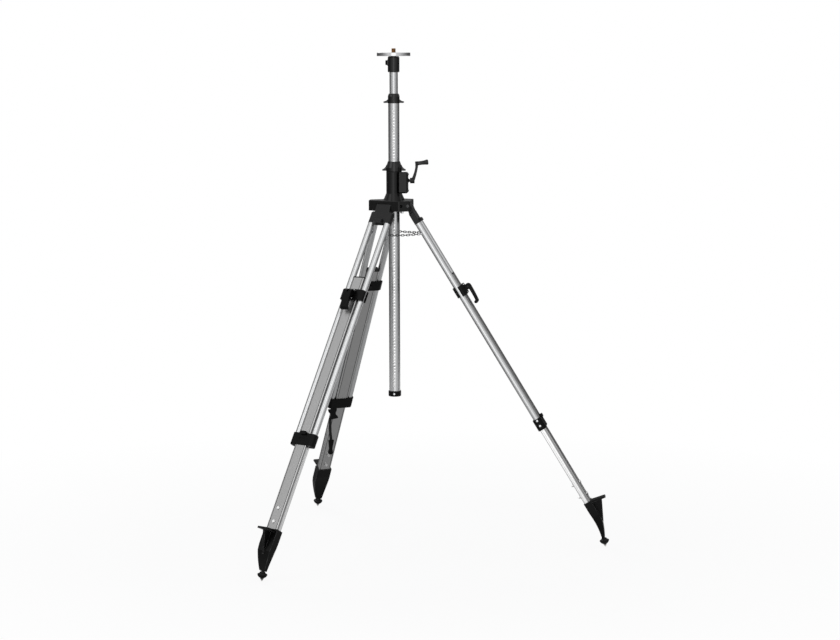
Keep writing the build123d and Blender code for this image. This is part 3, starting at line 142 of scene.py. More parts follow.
# %% Node helpers
NOISE_LOW, NOISE_HIGH = 0.3, 0.7
# a Mix node's sockets for colours
COLOUR_INPUTS, COLOUR_OUTPUT = (6, 7), 2
EDGE_SAMPLES, EDGE_STARTS, EDGE_FULL = 4, 0.995, 0.85


def wired(name):
    """A new material, its node tree and its shader."""
    material = bpy.data.materials.new(name)
    material.use_nodes = True
    return material, material.node_tree, material.node_tree.nodes["Principled BSDF"]


def plug(tree, socket, value):
    """Give a socket its value: another socket is linked, anything else is set."""
    if isinstance(value, bpy.types.NodeSocket):
        tree.links.new(value, socket)
    else:
        socket.default_value = value


def feed(tree, node, **inputs):
    """Give a node its inputs by name, with an underscore for a space."""
    for key, value in inputs.items():
        plug(tree, node.inputs[key.replace("_", " ")], value)
    return node


def put(tree, kind, choices=None, **inputs):
    """Add a node of a kind with its own choices, and give it its inputs."""
    node = tree.nodes.new("ShaderNode" + kind)
    for key, value in (choices or {}).items():
        setattr(node, key, value)
    return feed(tree, node, **inputs)


def maths(tree, operation, first, second=0):
    """One sum on two sockets or numbers."""
    node = put(tree, "Math", {"operation": operation})
    for socket, value in zip(node.inputs, (first, second)):
        plug(tree, socket, value)
    return node.outputs[0]


def vectors(tree, operation, first, second=(0, 0, 0)):
    """One sum on two vectors; a length or a dot product comes out under Value."""
    node = put(tree, "VectorMath", {"operation": operation})
    for socket, value in zip(node.inputs, (first, second)):
        plug(tree, socket, value)
    return node.outputs


def place(tree, turn=(0, 0, 0), stretch=(1, 1, 1), origin=(0, 0, 0)):
    """The object's own coordinates, turned into other axes and stretched."""
    here = put(tree, "TexCoord").outputs["Object"]
    return put(tree, "Mapping", {"vector_type": "TEXTURE"}, Vector=here, Location=origin,
               Rotation=turn, Scale=stretch).outputs[0]


def noise(tree, vector, scale, detail=2.0):
    """A noise between 0 and 1; scale is its waves in a metre."""
    return put(tree, "TexNoise", Vector=vector, Scale=scale, Detail=detail).outputs[0]


def spread(tree, value, low, high, to_low, to_high):
    """A value carried from one range to another and held at its ends."""
    return put(tree, "MapRange", Value=value, From_Min=low, From_Max=high,
               To_Min=to_low, To_Max=to_high).outputs[0]


def about(tree, pattern, middle, below, above):
    """A value that a noise carries from a little below its middle to a little above it."""
    return spread(tree, pattern, NOISE_LOW, NOISE_HIGH, middle - below, middle + above)


def grey(tone):
    """A colour without a hue."""
    return (tone,) * 3


def scaled(colour, share):
    """A colour at a share of its brightness."""
    return tuple(share * part for part in colour)


def tint(tree, factor, first, second):
    """A colour between two, by a factor."""
    node = put(tree, "Mix", {"data_type": "RGBA"})
    plug(tree, node.inputs[0], factor)
    for index, colour in zip(COLOUR_INPUTS, (first, second)):
        plug(tree, node.inputs[index], (*colour, 1) if isinstance(colour, tuple) else colour)
    return node.outputs[COLOUR_OUTPUT]


def dents(tree, shader, height, strength, depth):
    """Let a height pattern dent the surface: strength is its share, depth its size in metres."""
    bump = put(tree, "Bump", Height=height, Strength=strength, Distance=depth)
    feed(tree, shader, Normal=bump.outputs[0])


def edges(tree, width):
    """1 along a piece's edges, 0 on its faces: how far a rounded normal turns from the true one."""
    rounded = put(tree, "Bevel", {"samples": EDGE_SAMPLES}, Radius=width).outputs[0]
    flat = put(tree, "NewGeometry").outputs["Normal"]
    turn = vectors(tree, "DOT_PRODUCT", rounded, flat)["Value"]
    return spread(tree, turn, EDGE_STARTS, EDGE_FULL, 0.0, 1.0)


def leg_turn(leg):
    """The leg's axes as three angles for a mapping."""
    _, out, side, down = leg_axes(leg)
    return Matrix((out, side, -down)).transposed().to_euler()


print("node helpers ready")

# %% [markdown]
# ## Satin metal
# Tubes and panels are drawn aluminium with a satin skin. Fine streaks run along the metal; they
# change how rough it is more than its colour, and that is what pulls a highlight into a long
# stripe. Hands leave wide, faint smudges over them.

# %% Satin aluminium
STREAK_STRETCH, STREAK_WAVES, STREAK_SHIFT, STREAK_DARK = 40.0, 420, 0.03, 0.93
SMUDGE_WAVES, SMUDGE_LOW, SMUDGE_HIGH = 11, 0.35, 0.65
SMUDGE_SMOOTHS, SMUDGE_DULLS = 0.02, 0.03


def streaked(tree, turn):
    """Fine streaks along the metal: a noise drawn out down its length."""
    return noise(tree, place(tree, turn, (1, 1, STREAK_STRETCH)), STREAK_WAVES, detail=3)


def satin(name, turn, tone, rough):
    """Drawn metal: streaks along its length over smudges; tone is its colour, rough its mean."""
    material, tree, shader = wired(name)
    streaks = streaked(tree, turn)
    smudge = noise(tree, place(tree), SMUDGE_WAVES)
    fine = about(tree, streaks, rough, STREAK_SHIFT, STREAK_SHIFT)
    wide = spread(tree, smudge, SMUDGE_LOW, SMUDGE_HIGH, -SMUDGE_SMOOTHS, SMUDGE_DULLS)
    feed(tree, shader, Metallic=1.0, Roughness=maths(tree, "ADD", fine, wide),
         Base_Color=tint(tree, streaks, scaled(tone, STREAK_DARK), tone))
    return material


COLUMN_TONE, COLUMN_ROUGH = (0.48, 0.485, 0.49), 0.26
LEG_TONE, LEG_ROUGH = (0.55, 0.555, 0.56), 0.29
FINISH = {"column_tube": satin("column_tube", (0, 0, 0), COLUMN_TONE, COLUMN_ROUGH)}
for leg in LEGS:
    FINISH["satin_tube", leg] = satin(leg + "_satin_tube", leg_turn(leg), LEG_TONE, LEG_ROUGH)
print("satin finishes:", len(FINISH))

# %% [markdown]
# The sliding leg is an extrusion. Between its two grooves lies a dull grey panel; the rails beside
# the grooves are left bright, and the grooves are darkened with painted shade. Its narrow sides are
# bright, partly as a painted highlight, but for a darker band near the outer face: the painted
# shade of a groove. The place across the leg and out of it says which is which, so the pattern is
# read in the leg's own axes.

# %% The sliding leg's panel
GROOVE_SET, GROOVE_HALF, GROOVE_SHADE_TONE = 0.0188, 0.0012, 0.12
PANEL_FACE, PANEL_TONE, PANEL_DARK, PANEL_DULLS = 0.0115, 0.39, 0.94, 0.12
RAIL_TONE, RAIL_DARK, RAIL_ROUGH = 0.48, 0.90, 0.27
SIDE_FACE, SIDE_BRIGHT, SIDE_DARK = 0.0226, 0.80, 0.27
BAND_STARTS, BAND_FULL = 0.003, 0.005


def panelled(name, leg):
    """Extruded metal: grey between the grooves, bright rails and sides; the grooves and a band on
    the sides carry painted shade.
    """
    material, tree, shader = wired(name)
    turn = leg_turn(leg)
    spot = put(tree, "SeparateXYZ", Vector=place(tree, turn, origin=leg_axes(leg)[0])).outputs
    across = maths(tree, "ABSOLUTE", spot["Y"])
    outward = maths(tree, "ABSOLUTE", spot["X"])
    panel = maths(tree, "MULTIPLY", maths(tree, "LESS_THAN", across, GROOVE_SET),
                  maths(tree, "GREATER_THAN", outward, PANEL_FACE))
    # the grooves are painted dark: painted shade in the hollow
    groove = maths(tree, "COMPARE", across, GROOVE_SET)
    groove.node.inputs[2].default_value = GROOVE_HALF
    streaks = streaked(tree, turn)
    rails = tint(tree, streaks, grey(RAIL_DARK * RAIL_TONE), grey(RAIL_TONE))
    plain = tint(tree, streaks, grey(PANEL_DARK * PANEL_TONE), grey(PANEL_TONE))
    # darker band near the outer face of each side: painted shade of a groove; the bright rest is partly a painted
    # highlight
    side_shade_band = spread(tree, spot["X"], BAND_STARTS, BAND_FULL, 0.0, 1.0)
    sides = tint(tree, side_shade_band, grey(SIDE_BRIGHT), grey(SIDE_DARK))
    on_side = maths(tree, "GREATER_THAN", across, SIDE_FACE)
    faces = tint(tree, on_side, tint(tree, panel, rails, plain), sides)
    fine = about(tree, streaks, RAIL_ROUGH, STREAK_SHIFT, STREAK_SHIFT)
    dull = spread(tree, panel, 0.0, 1.0, 0.0, PANEL_DULLS)
    feed(tree, shader, Metallic=1.0, Roughness=maths(tree, "ADD", fine, dull),
         Base_Color=tint(tree, groove, faces, grey(GROOVE_SHADE_TONE)))
    return material


for leg in LEGS:
    FINISH["leg_panel", leg] = panelled(leg + "_leg_panel", leg)
print("panels:", len(LEGS))

# %% [markdown]
# ## Black pieces
# Moulded pieces have a fine pebbled skin; castings carry a powder coat like orange peel. On both,
# hands and cases rub the edges first, so the edges turn a little lighter and smoother. On the hinge
# blocks and feet the lighter edges are also a painted highlight along the ridges, and they are
# widest on the feet.

# %% Moulded and coated black
EDGE_WIDTH, RUB_POLISH = 0.0009, 0.12
PATCH_WAVES, PATCH_LOW, PATCH_HIGH, PATCH_LEAST = 60, 0.40, 0.65, 0.15
GRAIN_SMOOTHS, GRAIN_DULLS, GRAIN_STRENGTH = 0.05, 0.07, 0.25


def black_skin(name, tone, edge_tone, rough, shine, pebble, depth, edge_width=EDGE_WIDTH):
    """A black skin: pebbled by noise, and lighter on edges in patches, edge_width metres wide:
    worn, and on the blocks and feet also a painted highlight.
    """
    material, tree, shader = wired(name)
    here = place(tree)
    grain = noise(tree, here, pebble, detail=3)
    patches = noise(tree, here, PATCH_WAVES, detail=3)
    patches = spread(tree, patches, PATCH_LOW, PATCH_HIGH, PATCH_LEAST, 1.0)
    # lighter edges: wear, and on the blocks and feet a painted highlight
    edge_wear_and_glint = maths(tree, "MULTIPLY", edges(tree, edge_width), patches)
    skin = about(tree, grain, rough, GRAIN_SMOOTHS, GRAIN_DULLS)
    polish = maths(tree, "MULTIPLY", edge_wear_and_glint, RUB_POLISH)
    feed(tree, shader, Base_Color=tint(tree, edge_wear_and_glint, grey(tone), grey(edge_tone)),
         Roughness=maths(tree, "SUBTRACT", skin, polish), Specular_IOR_Level=shine)
    dents(tree, shader, grain, GRAIN_STRENGTH, depth)
    return material


# tone, tone of a worn edge (on the blocks and feet also a painted highlight), roughness, shine,
# pebbles in a metre, their depth, width of the edge band
BLACKS = {
    "black_plastic": (0.003, 0.022, 0.34, 0.09, 2400, 0.00003),
    "grip_plastic": (0.003, 0.018, 0.12, 0.40, 3000, 0.00001),
    "black_casting": (0.003, 0.040, 0.24, 0.24, 900, 0.00004),
    # hinge blocks and feet: their lighter edges are raised as a painted highlight along the ridges
    "block_casting": (0.022, 0.130, 0.36, 0.14, 1600, 0.00005, 0.0014),
    "foot_paint": (0.003, 0.140, 0.30, 0.12, 1000, 0.00006, 0.0024),
    "crank_paint": (0.003, 0.020, 0.16, 0.22, 1100, 0.00003),
    "gloss_plastic": (0.002, 0.016, 0.12, 0.36, 2400, 0.00001),
    "bush_nylon": (0.060, 0.100, 0.50, 0.40, 3200, 0.00004),
}
for name, values in BLACKS.items():
    FINISH[name] = black_skin(name, *values)
print("black finishes:", len(BLACKS))

# %% [markdown]
# ## Bright metal
# Screws, pins and chain are plated, bright or dark: a cool metal with cloudy patches. The rack is
# milled, with fine cutter lines across it. The head and its stud are turned, so their lines run
# round the column's axis: the pattern is read by distance from the axis and by height.

# %% Plated, milled and turned metal
COOL_CAST, WARM_CAST = (0.82, 0.84, 0.88), (1.0, 1.0, 0.98)
CLOUD_WAVES, CLOUD_SMOOTHS, CLOUD_DULLS = 220, 0.06, 0.10
PIT_WAVES, PIT_STRENGTH, PIT_DEPTH = 3000, 0.05, 0.00005
RIM_WIDTH = 0.0022
RIM_NOISE_WAVES, RIM_NOISE_LOW, RIM_NOISE_HIGH, RIM_SHADE_LEAST = 500, 0.3, 0.5, 0.6
RIM_NOISE_SMOOTHS, RIM_NOISE_DULLS = 0.05, 0.08
MARK_SMOOTHS, MARK_DULLS, MARK_STRENGTH, MARK_DEPTH = 0.04, 0.06, 0.10, 0.00005
TARNISH_WAVES, TARNISH_LOW, TARNISH_HIGH = 70, 0.4, 0.7
TARNISH_DARK, TARNISH_DULLS = 0.88, 0.06
CUT_STRETCH, CUT_WAVES, CUT_SMOOTHS, CUT_DULLS = 20, 2500, 0.05, 0.08
DARK_PATCH_WAVES, DARK_PATCH_LOW, DARK_PATCH_HIGH, DARK_PATCH_LEAST = 90, 0.3, 0.6, 0.75
RACK_TIP, RACK_ROOT = -0.0192, -0.0184
TIP_STRIP_MIDDLE, TIP_STRIP_HALF, TIP_STRIP_SOFT = 0.0024, 0.0019, 0.0006


def plated(name, tone, rough):
    """Plated metal: cloudy patches shift its tone, from cool to warm, and its roughness."""
    material, tree, shader = wired(name)
    cloud = noise(tree, place(tree), CLOUD_WAVES, detail=4)
    pits = noise(tree, place(tree), PIT_WAVES)
    cool, warm = scaled(COOL_CAST, tone), scaled(WARM_CAST, tone)
    feed(tree, shader, Metallic=1.0, Base_Color=tint(tree, cloud, cool, warm),
         Roughness=about(tree, cloud, rough, CLOUD_SMOOTHS, CLOUD_DULLS))
    dents(tree, shader, pits, PIT_STRENGTH, PIT_DEPTH)
    return material


def rim_shaded(name, tone, rim_shade, rough):
    """A bolt's head: bright in the middle, with painted shade round its rim in patches."""
    material, tree, shader = wired(name)
    rim_noise = noise(tree, place(tree), RIM_NOISE_WAVES, detail=3)
    patches = spread(tree, rim_noise, RIM_NOISE_LOW, RIM_NOISE_HIGH, RIM_SHADE_LEAST, 1.0)
    # painted shade round the head's rim, where it sits in its hole
    dark = maths(tree, "MULTIPLY", edges(tree, RIM_WIDTH), patches)
    feed(tree, shader, Metallic=1.0, Base_Color=tint(tree, dark, grey(tone), grey(rim_shade)),
         Roughness=about(tree, rim_noise, rough, RIM_NOISE_SMOOTHS, RIM_NOISE_DULLS))
    return material


def turned_metal(name, tone, rough, lines):
    """Turned metal: cutter lines, so many in a metre, by distance from the axis and by height."""
    material, tree, shader = wired(name)
    here = place(tree)
    level = vectors(tree, "MULTIPLY", here, (1, 1, 0))["Vector"]
    reach = vectors(tree, "LENGTH", level)["Value"]
    height = put(tree, "SeparateXYZ", Vector=here).outputs["Z"]
    ring = put(tree, "CombineXYZ", X=reach, Z=height).outputs[0]
    marks = noise(tree, ring, lines)
    tarnish = noise(tree, here, TARNISH_WAVES, detail=3)
    fine = about(tree, marks, rough, MARK_SMOOTHS, MARK_DULLS)
    wide = spread(tree, tarnish, TARNISH_LOW, TARNISH_HIGH, 0.0, TARNISH_DULLS)
    feed(tree, shader, Metallic=1.0, Roughness=maths(tree, "ADD", fine, wide),
         Base_Color=tint(tree, tarnish, scaled(tone, TARNISH_DARK), tone))
    dents(tree, shader, marks, MARK_STRENGTH, MARK_DEPTH)
    return material


def milled(name, tone, dark, rough):
    """A milled rack: its tips are bright in a strip down the middle; the roots and the rest of the
    tips are darker, in patches.
    """
    material, tree, shader = wired(name)
    here = place(tree)
    lines = noise(tree, place(tree, stretch=(CUT_STRETCH, CUT_STRETCH, 1)), CUT_WAVES)
    spot = put(tree, "SeparateXYZ", Vector=here).outputs
    sunk = spread(tree, spot["Y"], RACK_TIP, RACK_ROOT, 0.0, 1.0)
    aside = maths(tree, "ABSOLUTE", maths(tree, "SUBTRACT", spot["X"], TIP_STRIP_MIDDLE))
    off_strip = spread(tree, aside, TIP_STRIP_HALF - TIP_STRIP_SOFT, TIP_STRIP_HALF + TIP_STRIP_SOFT, 0.0, 1.0)
    patches = noise(tree, here, DARK_PATCH_WAVES, detail=3)
    patches = spread(tree, patches, DARK_PATCH_LOW, DARK_PATCH_HIGH, DARK_PATCH_LEAST, 1.0)
    darker_share = maths(tree, "MULTIPLY", maths(tree, "MAXIMUM", sunk, off_strip), patches)
    feed(tree, shader, Metallic=1.0, Base_Color=tint(tree, darker_share, grey(tone), grey(dark)),
         Roughness=about(tree, lines, rough, CUT_SMOOTHS, CUT_DULLS))
    return material


# tone and roughness
PLATES = {"bright_steel": (0.80, 0.30), "dark_steel": (0.06, 0.40), "black_oxide": (0.02, 0.36),
          "chain_steel": (0.06, 0.28)}
for name, values in PLATES.items():
    FINISH[name] = plated(name, *values)
FINISH["bolt_steel"] = rim_shaded("bolt_steel", tone=0.85, rim_shade=0.04, rough=0.28)
FINISH["rack_metal"] = milled("rack_metal", tone=0.95, dark=0.40, rough=0.22)
FINISH["head_alloy"] = turned_metal("head_alloy", (0.58, 0.58, 0.59), rough=0.12, lines=4000)
FINISH["stud_brass"] = turned_metal("stud_brass", (0.30, 0.17, 0.08), rough=0.28, lines=5000)
print("bright finishes ready")

# %% [markdown]
# The foot's point is painted black and pushed into the ground, so its paint is gone at the tip and
# hangs on in ragged patches above. Height above the ground, made uneven by noise, says where.

# %% The point's worn tip
PAINT, PAINT_SHINE, BARE_STEEL = grey(0.005), 0.15, (0.75, 0.74, 0.72)
RAGGED, RAGGED_WAVES, BARE_SHARE = 0.003, 160, 0.6
SCUFF_STRETCH, SCUFF_WAVES, SCUFF_ROUGH = 8, 1500, (0.30, 0.46)
SCUFF_STRENGTH, SCUFF_DEPTH = 0.15, 0.0001


def worn_point(name, bare_to):
    """Black paint that gives way to bare steel below a ragged height in metres."""
    material, tree, shader = wired(name)
    here = place(tree)
    height = put(tree, "SeparateXYZ", Vector=here).outputs["Z"]
    uneven = noise(tree, here, RAGGED_WAVES, detail=4)
    ragged = maths(tree, "ADD", height, spread(tree, uneven, 0.0, 1.0, -RAGGED, RAGGED))
    bare = spread(tree, ragged, bare_to, BARE_SHARE * bare_to, 0.0, 1.0)
    scuffs = noise(tree, place(tree, stretch=(1, 1, SCUFF_STRETCH)), SCUFF_WAVES, detail=3)
    rough = spread(tree, scuffs, NOISE_LOW, NOISE_HIGH, *SCUFF_ROUGH)
    feed(tree, shader, Metallic=bare, Base_Color=tint(tree, bare, PAINT, BARE_STEEL),
         Roughness=rough, Specular_IOR_Level=PAINT_SHINE)
    dents(tree, shader, scuffs, SCUFF_STRENGTH, SCUFF_DEPTH)
    return material


FINISH["point_steel"] = worn_point("point_steel", bare_to=0.011)
print("point finish ready")

# %% [markdown]
# The strap is woven nylon. Its two sets of threads cross in a twill, so the weave is drawn from
# two waves over the strip's own flat coordinates, one slanted and one straight across.

# %% Webbing
CROSS_FINER, THREAD_WANDER = 1.7, 0.4
GAP_DARK, THREAD_LIGHT = 0.6, 1.5
GAP_ROUGH, THREAD_ROUGH, WEB_SHINE, WEB_SHEEN = 0.85, 0.65, 0.25, 0.1
WEAVE_STRENGTH, WEAVE_DEPTH = 0.5, 0.0004


def webbing(name, tone, threads):
    """Woven strip: two waves over the flat coordinates give the raised threads of a twill;
    the gaps between them carry painted shade and the raised threads painted light.
    """
    material, tree, shader = wired(name)
    flat = put(tree, "UVMap").outputs["UV"]
    lean, cross = (
        put(tree, "TexWave", {"bands_direction": way}, Vector=flat, Scale=scale,
            Distortion=THREAD_WANDER).outputs["Fac"]
        for way, scale in (("DIAGONAL", threads), ("X", threads * CROSS_FINER)))
    weave = maths(tree, "MULTIPLY", lean, cross)
    feed(tree, shader, Roughness=spread(tree, weave, 0.0, 1.0, GAP_ROUGH, THREAD_ROUGH),
         # painted shade in the gaps between threads and painted light on the raised threads
         Base_Color=tint(tree, weave, grey(GAP_DARK * tone), grey(THREAD_LIGHT * tone)),
         Specular_IOR_Level=WEB_SHINE, Sheen_Weight=WEB_SHEEN)
    dents(tree, shader, weave, WEAVE_STRENGTH, WEAVE_DEPTH)
    return material


FINISH["strap_webbing"] = webbing("strap_webbing", tone=0.005, threads=160)
print("webbing finish ready")

# %% [markdown]
# Every solid now takes the finish of its slot in the record. The tubes and panels of a leg take
# that leg's own version, so that their streaks run down the leg. A few pieces are polished by hands
# or blackened, and the foot bolts carry painted shade round their heads, so they take a version of
# their own.

# %% Finish the solids
SLOTS = {part["node"]: part["material_slot"] for part in frame["record"]["subparts"]}
OWN_FINISH = {"upper_lock_collar": "gloss_plastic", "lower_lock_collar": "gloss_plastic",
              "head_clamp": "gloss_plastic", "pinion_shaft": "black_oxide"}
for leg in LEGS:
    OWN_FINISH[leg + "_clamp_bolt"] = "black_oxide"
    OWN_FINISH[leg + "_foot_bolts"] = "bolt_steel"


def finish_of(node):
    """The material of a node: its own, its slot's, or its leg's version of it."""
    slot = OWN_FINISH.get(node, SLOTS[node])
    return FINISH[slot] if slot in FINISH else FINISH[slot, node.split("_")[0]]


for node, solid in NODES.items():
    solid.data.materials.clear()
    solid.data.materials.append(finish_of(node))
print("finished", len(NODES), "solids with", len(FINISH), "materials")

# %% [markdown]
# ## Light and floor
# A studio for bright metal on white: a broad lamp high in front, others on the left and behind, and
# a white surround. The camera, and the metal by reflection, see the surround as plain white. The
# floor is white paper that keeps a little of its shading, so a soft shadow stays.

# %% Lamps, surround and floor
scene.view_settings.view_transform = "Standard"
LAMP_AIM = Vector((0, 0, 0.9))
# place, width in metres and watts
LAMPS = {"key": ((0.5, -3.6, 4.3), 2.6, 18), "fill": ((-3.4, -2.6, 3.0), 2.8, 30),
         "back": ((-2.5, 3.5, 3.6), 2.6, 50)}
SHADOW_NEAR, SHADOW_FAR, NEAR_GLOW = 0.9, 2.6, 0.90
WHITE, AMBIENT, AMBIENT_STRENGTH = (1, 1, 1, 1), (0.97, 0.98, 1.0, 1), 0.5
PAPER_DARK, PAPER_LIGHT, PAPER_WAVES, PAPER_ROUGH = 0.91, 0.94, 400, 0.9


def soft_lamp(name, spot, size, watts):
    """A square lamp at a spot, turned to the middle of the tripod."""
    data = bpy.data.lights.new(name, "AREA")
    data.size = size
    data.energy = watts
    lamp = bpy.data.objects.new(name, data)
    scene.collection.objects.link(lamp)
    lamp.location = spot
    lamp.rotation_euler = (LAMP_AIM - Vector(spot)).to_track_quat("-Z", "Y").to_euler()


for name, values in LAMPS.items():
    soft_lamp(name, *values)


def seen_rays(tree):
    """1 for rays of the camera, of reflections and of clear glass; 0 for light that only falls."""
    path = put(tree, "LightPath").outputs
    either = maths(tree, "MAXIMUM", path["Is Camera Ray"], path["Is Glossy Ray"])
    return maths(tree, "MAXIMUM", either, path["Is Transmission Ray"])


def mixed(tree, factor, first, second, output):
    """Join two shaders by a factor and send them to the output."""
    node = put(tree, "MixShader")
    for socket, value in zip(node.inputs, (factor, first, second)):
        tree.links.new(value, socket)
    tree.links.new(node.outputs[0], output.inputs["Surface"])


world = bpy.data.worlds.new("surround")
scene.world = world
world.use_nodes = True
tree = world.node_tree
tree.nodes.clear()
ambient = put(tree, "Background", Color=AMBIENT, Strength=AMBIENT_STRENGTH)
white = put(tree, "Background", Color=WHITE, Strength=1.0)
mixed(tree, seen_rays(tree), ambient.outputs[0], white.outputs[0], put(tree, "OutputWorld"))

paper, tree, shader = wired("floor_paper")
fibre = noise(tree, place(tree), PAPER_WAVES, detail=3)
feed(tree, shader, Base_Color=tint(tree, fibre, grey(PAPER_DARK), grey(PAPER_LIGHT)),
     Roughness=PAPER_ROUGH)
glow = put(tree, "Emission", Color=WHITE, Strength=1.0)
from_axis = vectors(tree, "LENGTH", place(tree))["Value"]
fade = spread(tree, from_axis, SHADOW_NEAR, SHADOW_FAR, NEAR_GLOW, 1.0)
mixed(tree, maths(tree, "MULTIPLY", seen_rays(tree), fade), shader.outputs[0], glow.outputs[0],
      tree.nodes["Material Output"])
print("lamps and surround lit")

# %% [markdown]
# ## Meshes: the tools
# Every added piece is a stack of rings: a turned screw, a bent wire, a strip of webbing. The points
# come as one array and the faces follow from the count of rings and of points in a ring.

# %% Rings of points to pieces
CREASE, STEEP, TURNED_SIDES = 32.0, 0.9, 24
FLOOR_REACH, FLOOR_DROP = 14.0, 0.001


def ring_faces(rings, points, count=1, joined=False):
    """Faces of stacked rings: quads between neighbours; flat ends, or the last joins the first."""
    spans = rings if joined else rings - 1
    counts = np.arange(count), np.arange(spans), np.arange(points)
    stack, ring, point = np.meshgrid(*counts, indexing="ij")
    here = (stack * rings + ring) * points
    onward = (stack * rings + (ring + 1) % rings) * points
    beside = (point + 1) % points
    quads = np.stack([here + point, here + beside, onward + beside, onward + point], -1)
    quads = quads.reshape(-1, 4)
    if joined:
        return quads.tolist()
    start = np.arange(count)[:, None] * rings * points
    low = start + np.arange(points)[::-1]
    high = start + (rings - 1) * points + np.arange(points)
    return quads.tolist() + low.tolist() + high.tolist()


def mesh_piece(name, verts, faces, material, crease=CREASE):
    """A mesh at the origin from points and faces, smooth but for edges sharper than the crease."""
    mesh = bpy.data.meshes.new(name)
    mesh.from_pydata(np.asarray(verts, float).reshape(-1, 3).tolist(), [], faces)
    mesh.polygons.foreach_set("use_smooth", np.ones(len(mesh.polygons), bool))
    mesh.set_sharp_from_angle(angle=math.radians(crease))
    mesh.materials.append(material)
    piece = bpy.data.objects.new(name, mesh)
    scene.collection.objects.link(piece)
    return piece


def unit(rows):
    """Rows scaled to length one."""
    rows = np.asarray(rows, float)
    return rows / np.linalg.norm(rows, axis=-1, keepdims=True)


def turned(profile, places, axes, sides=TURNED_SIDES):
    """Turned pieces on axes, or all on one: a profile row (radius, height, hex) is a ring; hex 1
    makes the circle a hexagon, whose radius is r * cos 30 / cos(angle from a flat's middle)."""
    profile = np.asarray(profile, float)
    places, axes = np.atleast_2d(places), unit(np.atleast_2d(axes))
    helper = np.where(np.abs(axes[:, 2:]) > STEEP, [[1.0, 0, 0]], [[0, 0, 1.0]])
    across = unit(np.cross(helper, axes))
    beside = np.cross(axes, across)
    angle = np.linspace(0, 2 * np.pi, sides, endpoint=False)
    flat = math.cos(np.pi / 6) / np.cos(angle % (np.pi / 3) - np.pi / 6)
    radius = profile[:, :1] * (1 - profile[:, 2:] * (1 - flat))
    spokes = np.cos(angle)[:, None] * across[:, None] + np.sin(angle)[:, None] * beside[:, None]
    verts = (places[:, None, None] + radius[None, :, :, None] * spokes[:, None]
             + profile[None, :, 1, None, None] * axes[:, None, None])
    return verts, ring_faces(len(profile), sides, len(places))


def wire_loops(paths, normals, radius, sides):
    """Round wire round flat closed paths: path + radius * (cos a * outward - sin a * normal)."""
    ahead = unit(np.roll(paths, -1, 1) - np.roll(paths, 1, 1))
    outward = np.cross(ahead, normals[:, None])
    angle = np.linspace(0, 2 * np.pi, sides, endpoint=False)[:, None]
    verts = paths[:, :, None] + radius * (
        np.cos(angle) * outward[:, :, None] - np.sin(angle) * normals[:, None, None])
    return verts, ring_faces(paths.shape[1], sides, len(paths), joined=True)


corners = FLOOR_REACH * np.array([[-1, -1], [1, -1], [1, 1], [-1, 1]])
corners = np.column_stack([corners, np.full(4, -FLOOR_DROP)])
floor = mesh_piece("floor", corners, [[0, 1, 2, 3]], paper)
print("floor laid")

# %% [markdown]
# Polished metal shows its room. In a white room it would look flat, so a grey wall bends round the
# tripod: bright in front, where the camera stands, darker towards the sides and the back, and
# lighter in its upper half. That is what gives a tube its bright middle and dark edges. Grey sheets
# lie on the floor, and a bright board stands in front. Only reflections see them.

# %% Wall and sheets for the reflections
CAMERA_BEARING = -83.6
WALL_REACH, WALL_SPLIT, WALL_HIGH = 4.6, 1.9, 4.6
# degrees to the right of the camera, and the wall's grey there
WALL_TURN = [36, 54, 79, 110, 140, 180, 220, 250, 281, 306, 324]
WALL_TONE = [0.95, 0.67, 0.36, 0.11, 0.08, 0.10, 0.08, 0.13, 0.27, 0.57, 0.95]
WALL_LIFT = 0.28
WALL_COLUMNS = 73
BOARD_TURN, BOARD_REACH, BOARD_HIGH, BOARD_TONE, BOARD_COLUMNS = 15, 3.4, 2.8, 2.0, 9
SHEET_RISE = 0.004
# reach in x, reach in y and grey
SHEETS = {"sheet_right": ((-0.35, 1.6), (-0.7, 1.4), 0.50),
          "sheet_left": ((-2.4, -0.35), (-0.7, 1.4), 0.24),
          "sheet_back": ((-2.4, 0.6), (1.4, 4.4), 0.12)}


def card(name, foot, top, tones):
    """A sheet between two rows of points that only reflections see, with a grey for each column."""
    material, tree, _ = wired(name)
    strength = put(tree, "Attribute", {"attribute_name": "tone"}).outputs["Fac"]
    glow = put(tree, "Emission", Color=WHITE, Strength=strength)
    tree.links.new(glow.outputs[0], tree.nodes["Material Output"].inputs["Surface"])
    columns = len(foot)
    quads = np.arange(columns - 1)[:, None] + np.array([[0, 1, columns + 1, columns]])
    sheet = mesh_piece(name, np.concatenate([foot, top]), quads.tolist(), material)
    tone = sheet.data.attributes.new("tone", "FLOAT", "POINT")
    tone.data.foreach_set("value", np.tile(tones, 2).astype(np.float32))
    sheet.visible_camera = sheet.visible_diffuse = False
    sheet.visible_shadow = sheet.visible_transmission = False


def round_wall(name, turns, reach, low, high, tones):
    """An upright sheet bent round the tripod; turns are degrees to the right of the camera."""
    bearing = np.radians(CAMERA_BEARING + turns)
    ring = reach * np.cos(bearing), reach * np.sin(bearing)
    foot = np.column_stack([*ring, np.full(len(turns), low)])
    card(name, foot, foot + [0, 0, high - low], tones)


def floor_sheet(name, x, y, tone):
    """A flat sheet just over the floor."""
    corners = np.array([(across, along, SHEET_RISE) for along in y for across in x])
    card(name, corners[:2], corners[2:], np.full(2, tone))


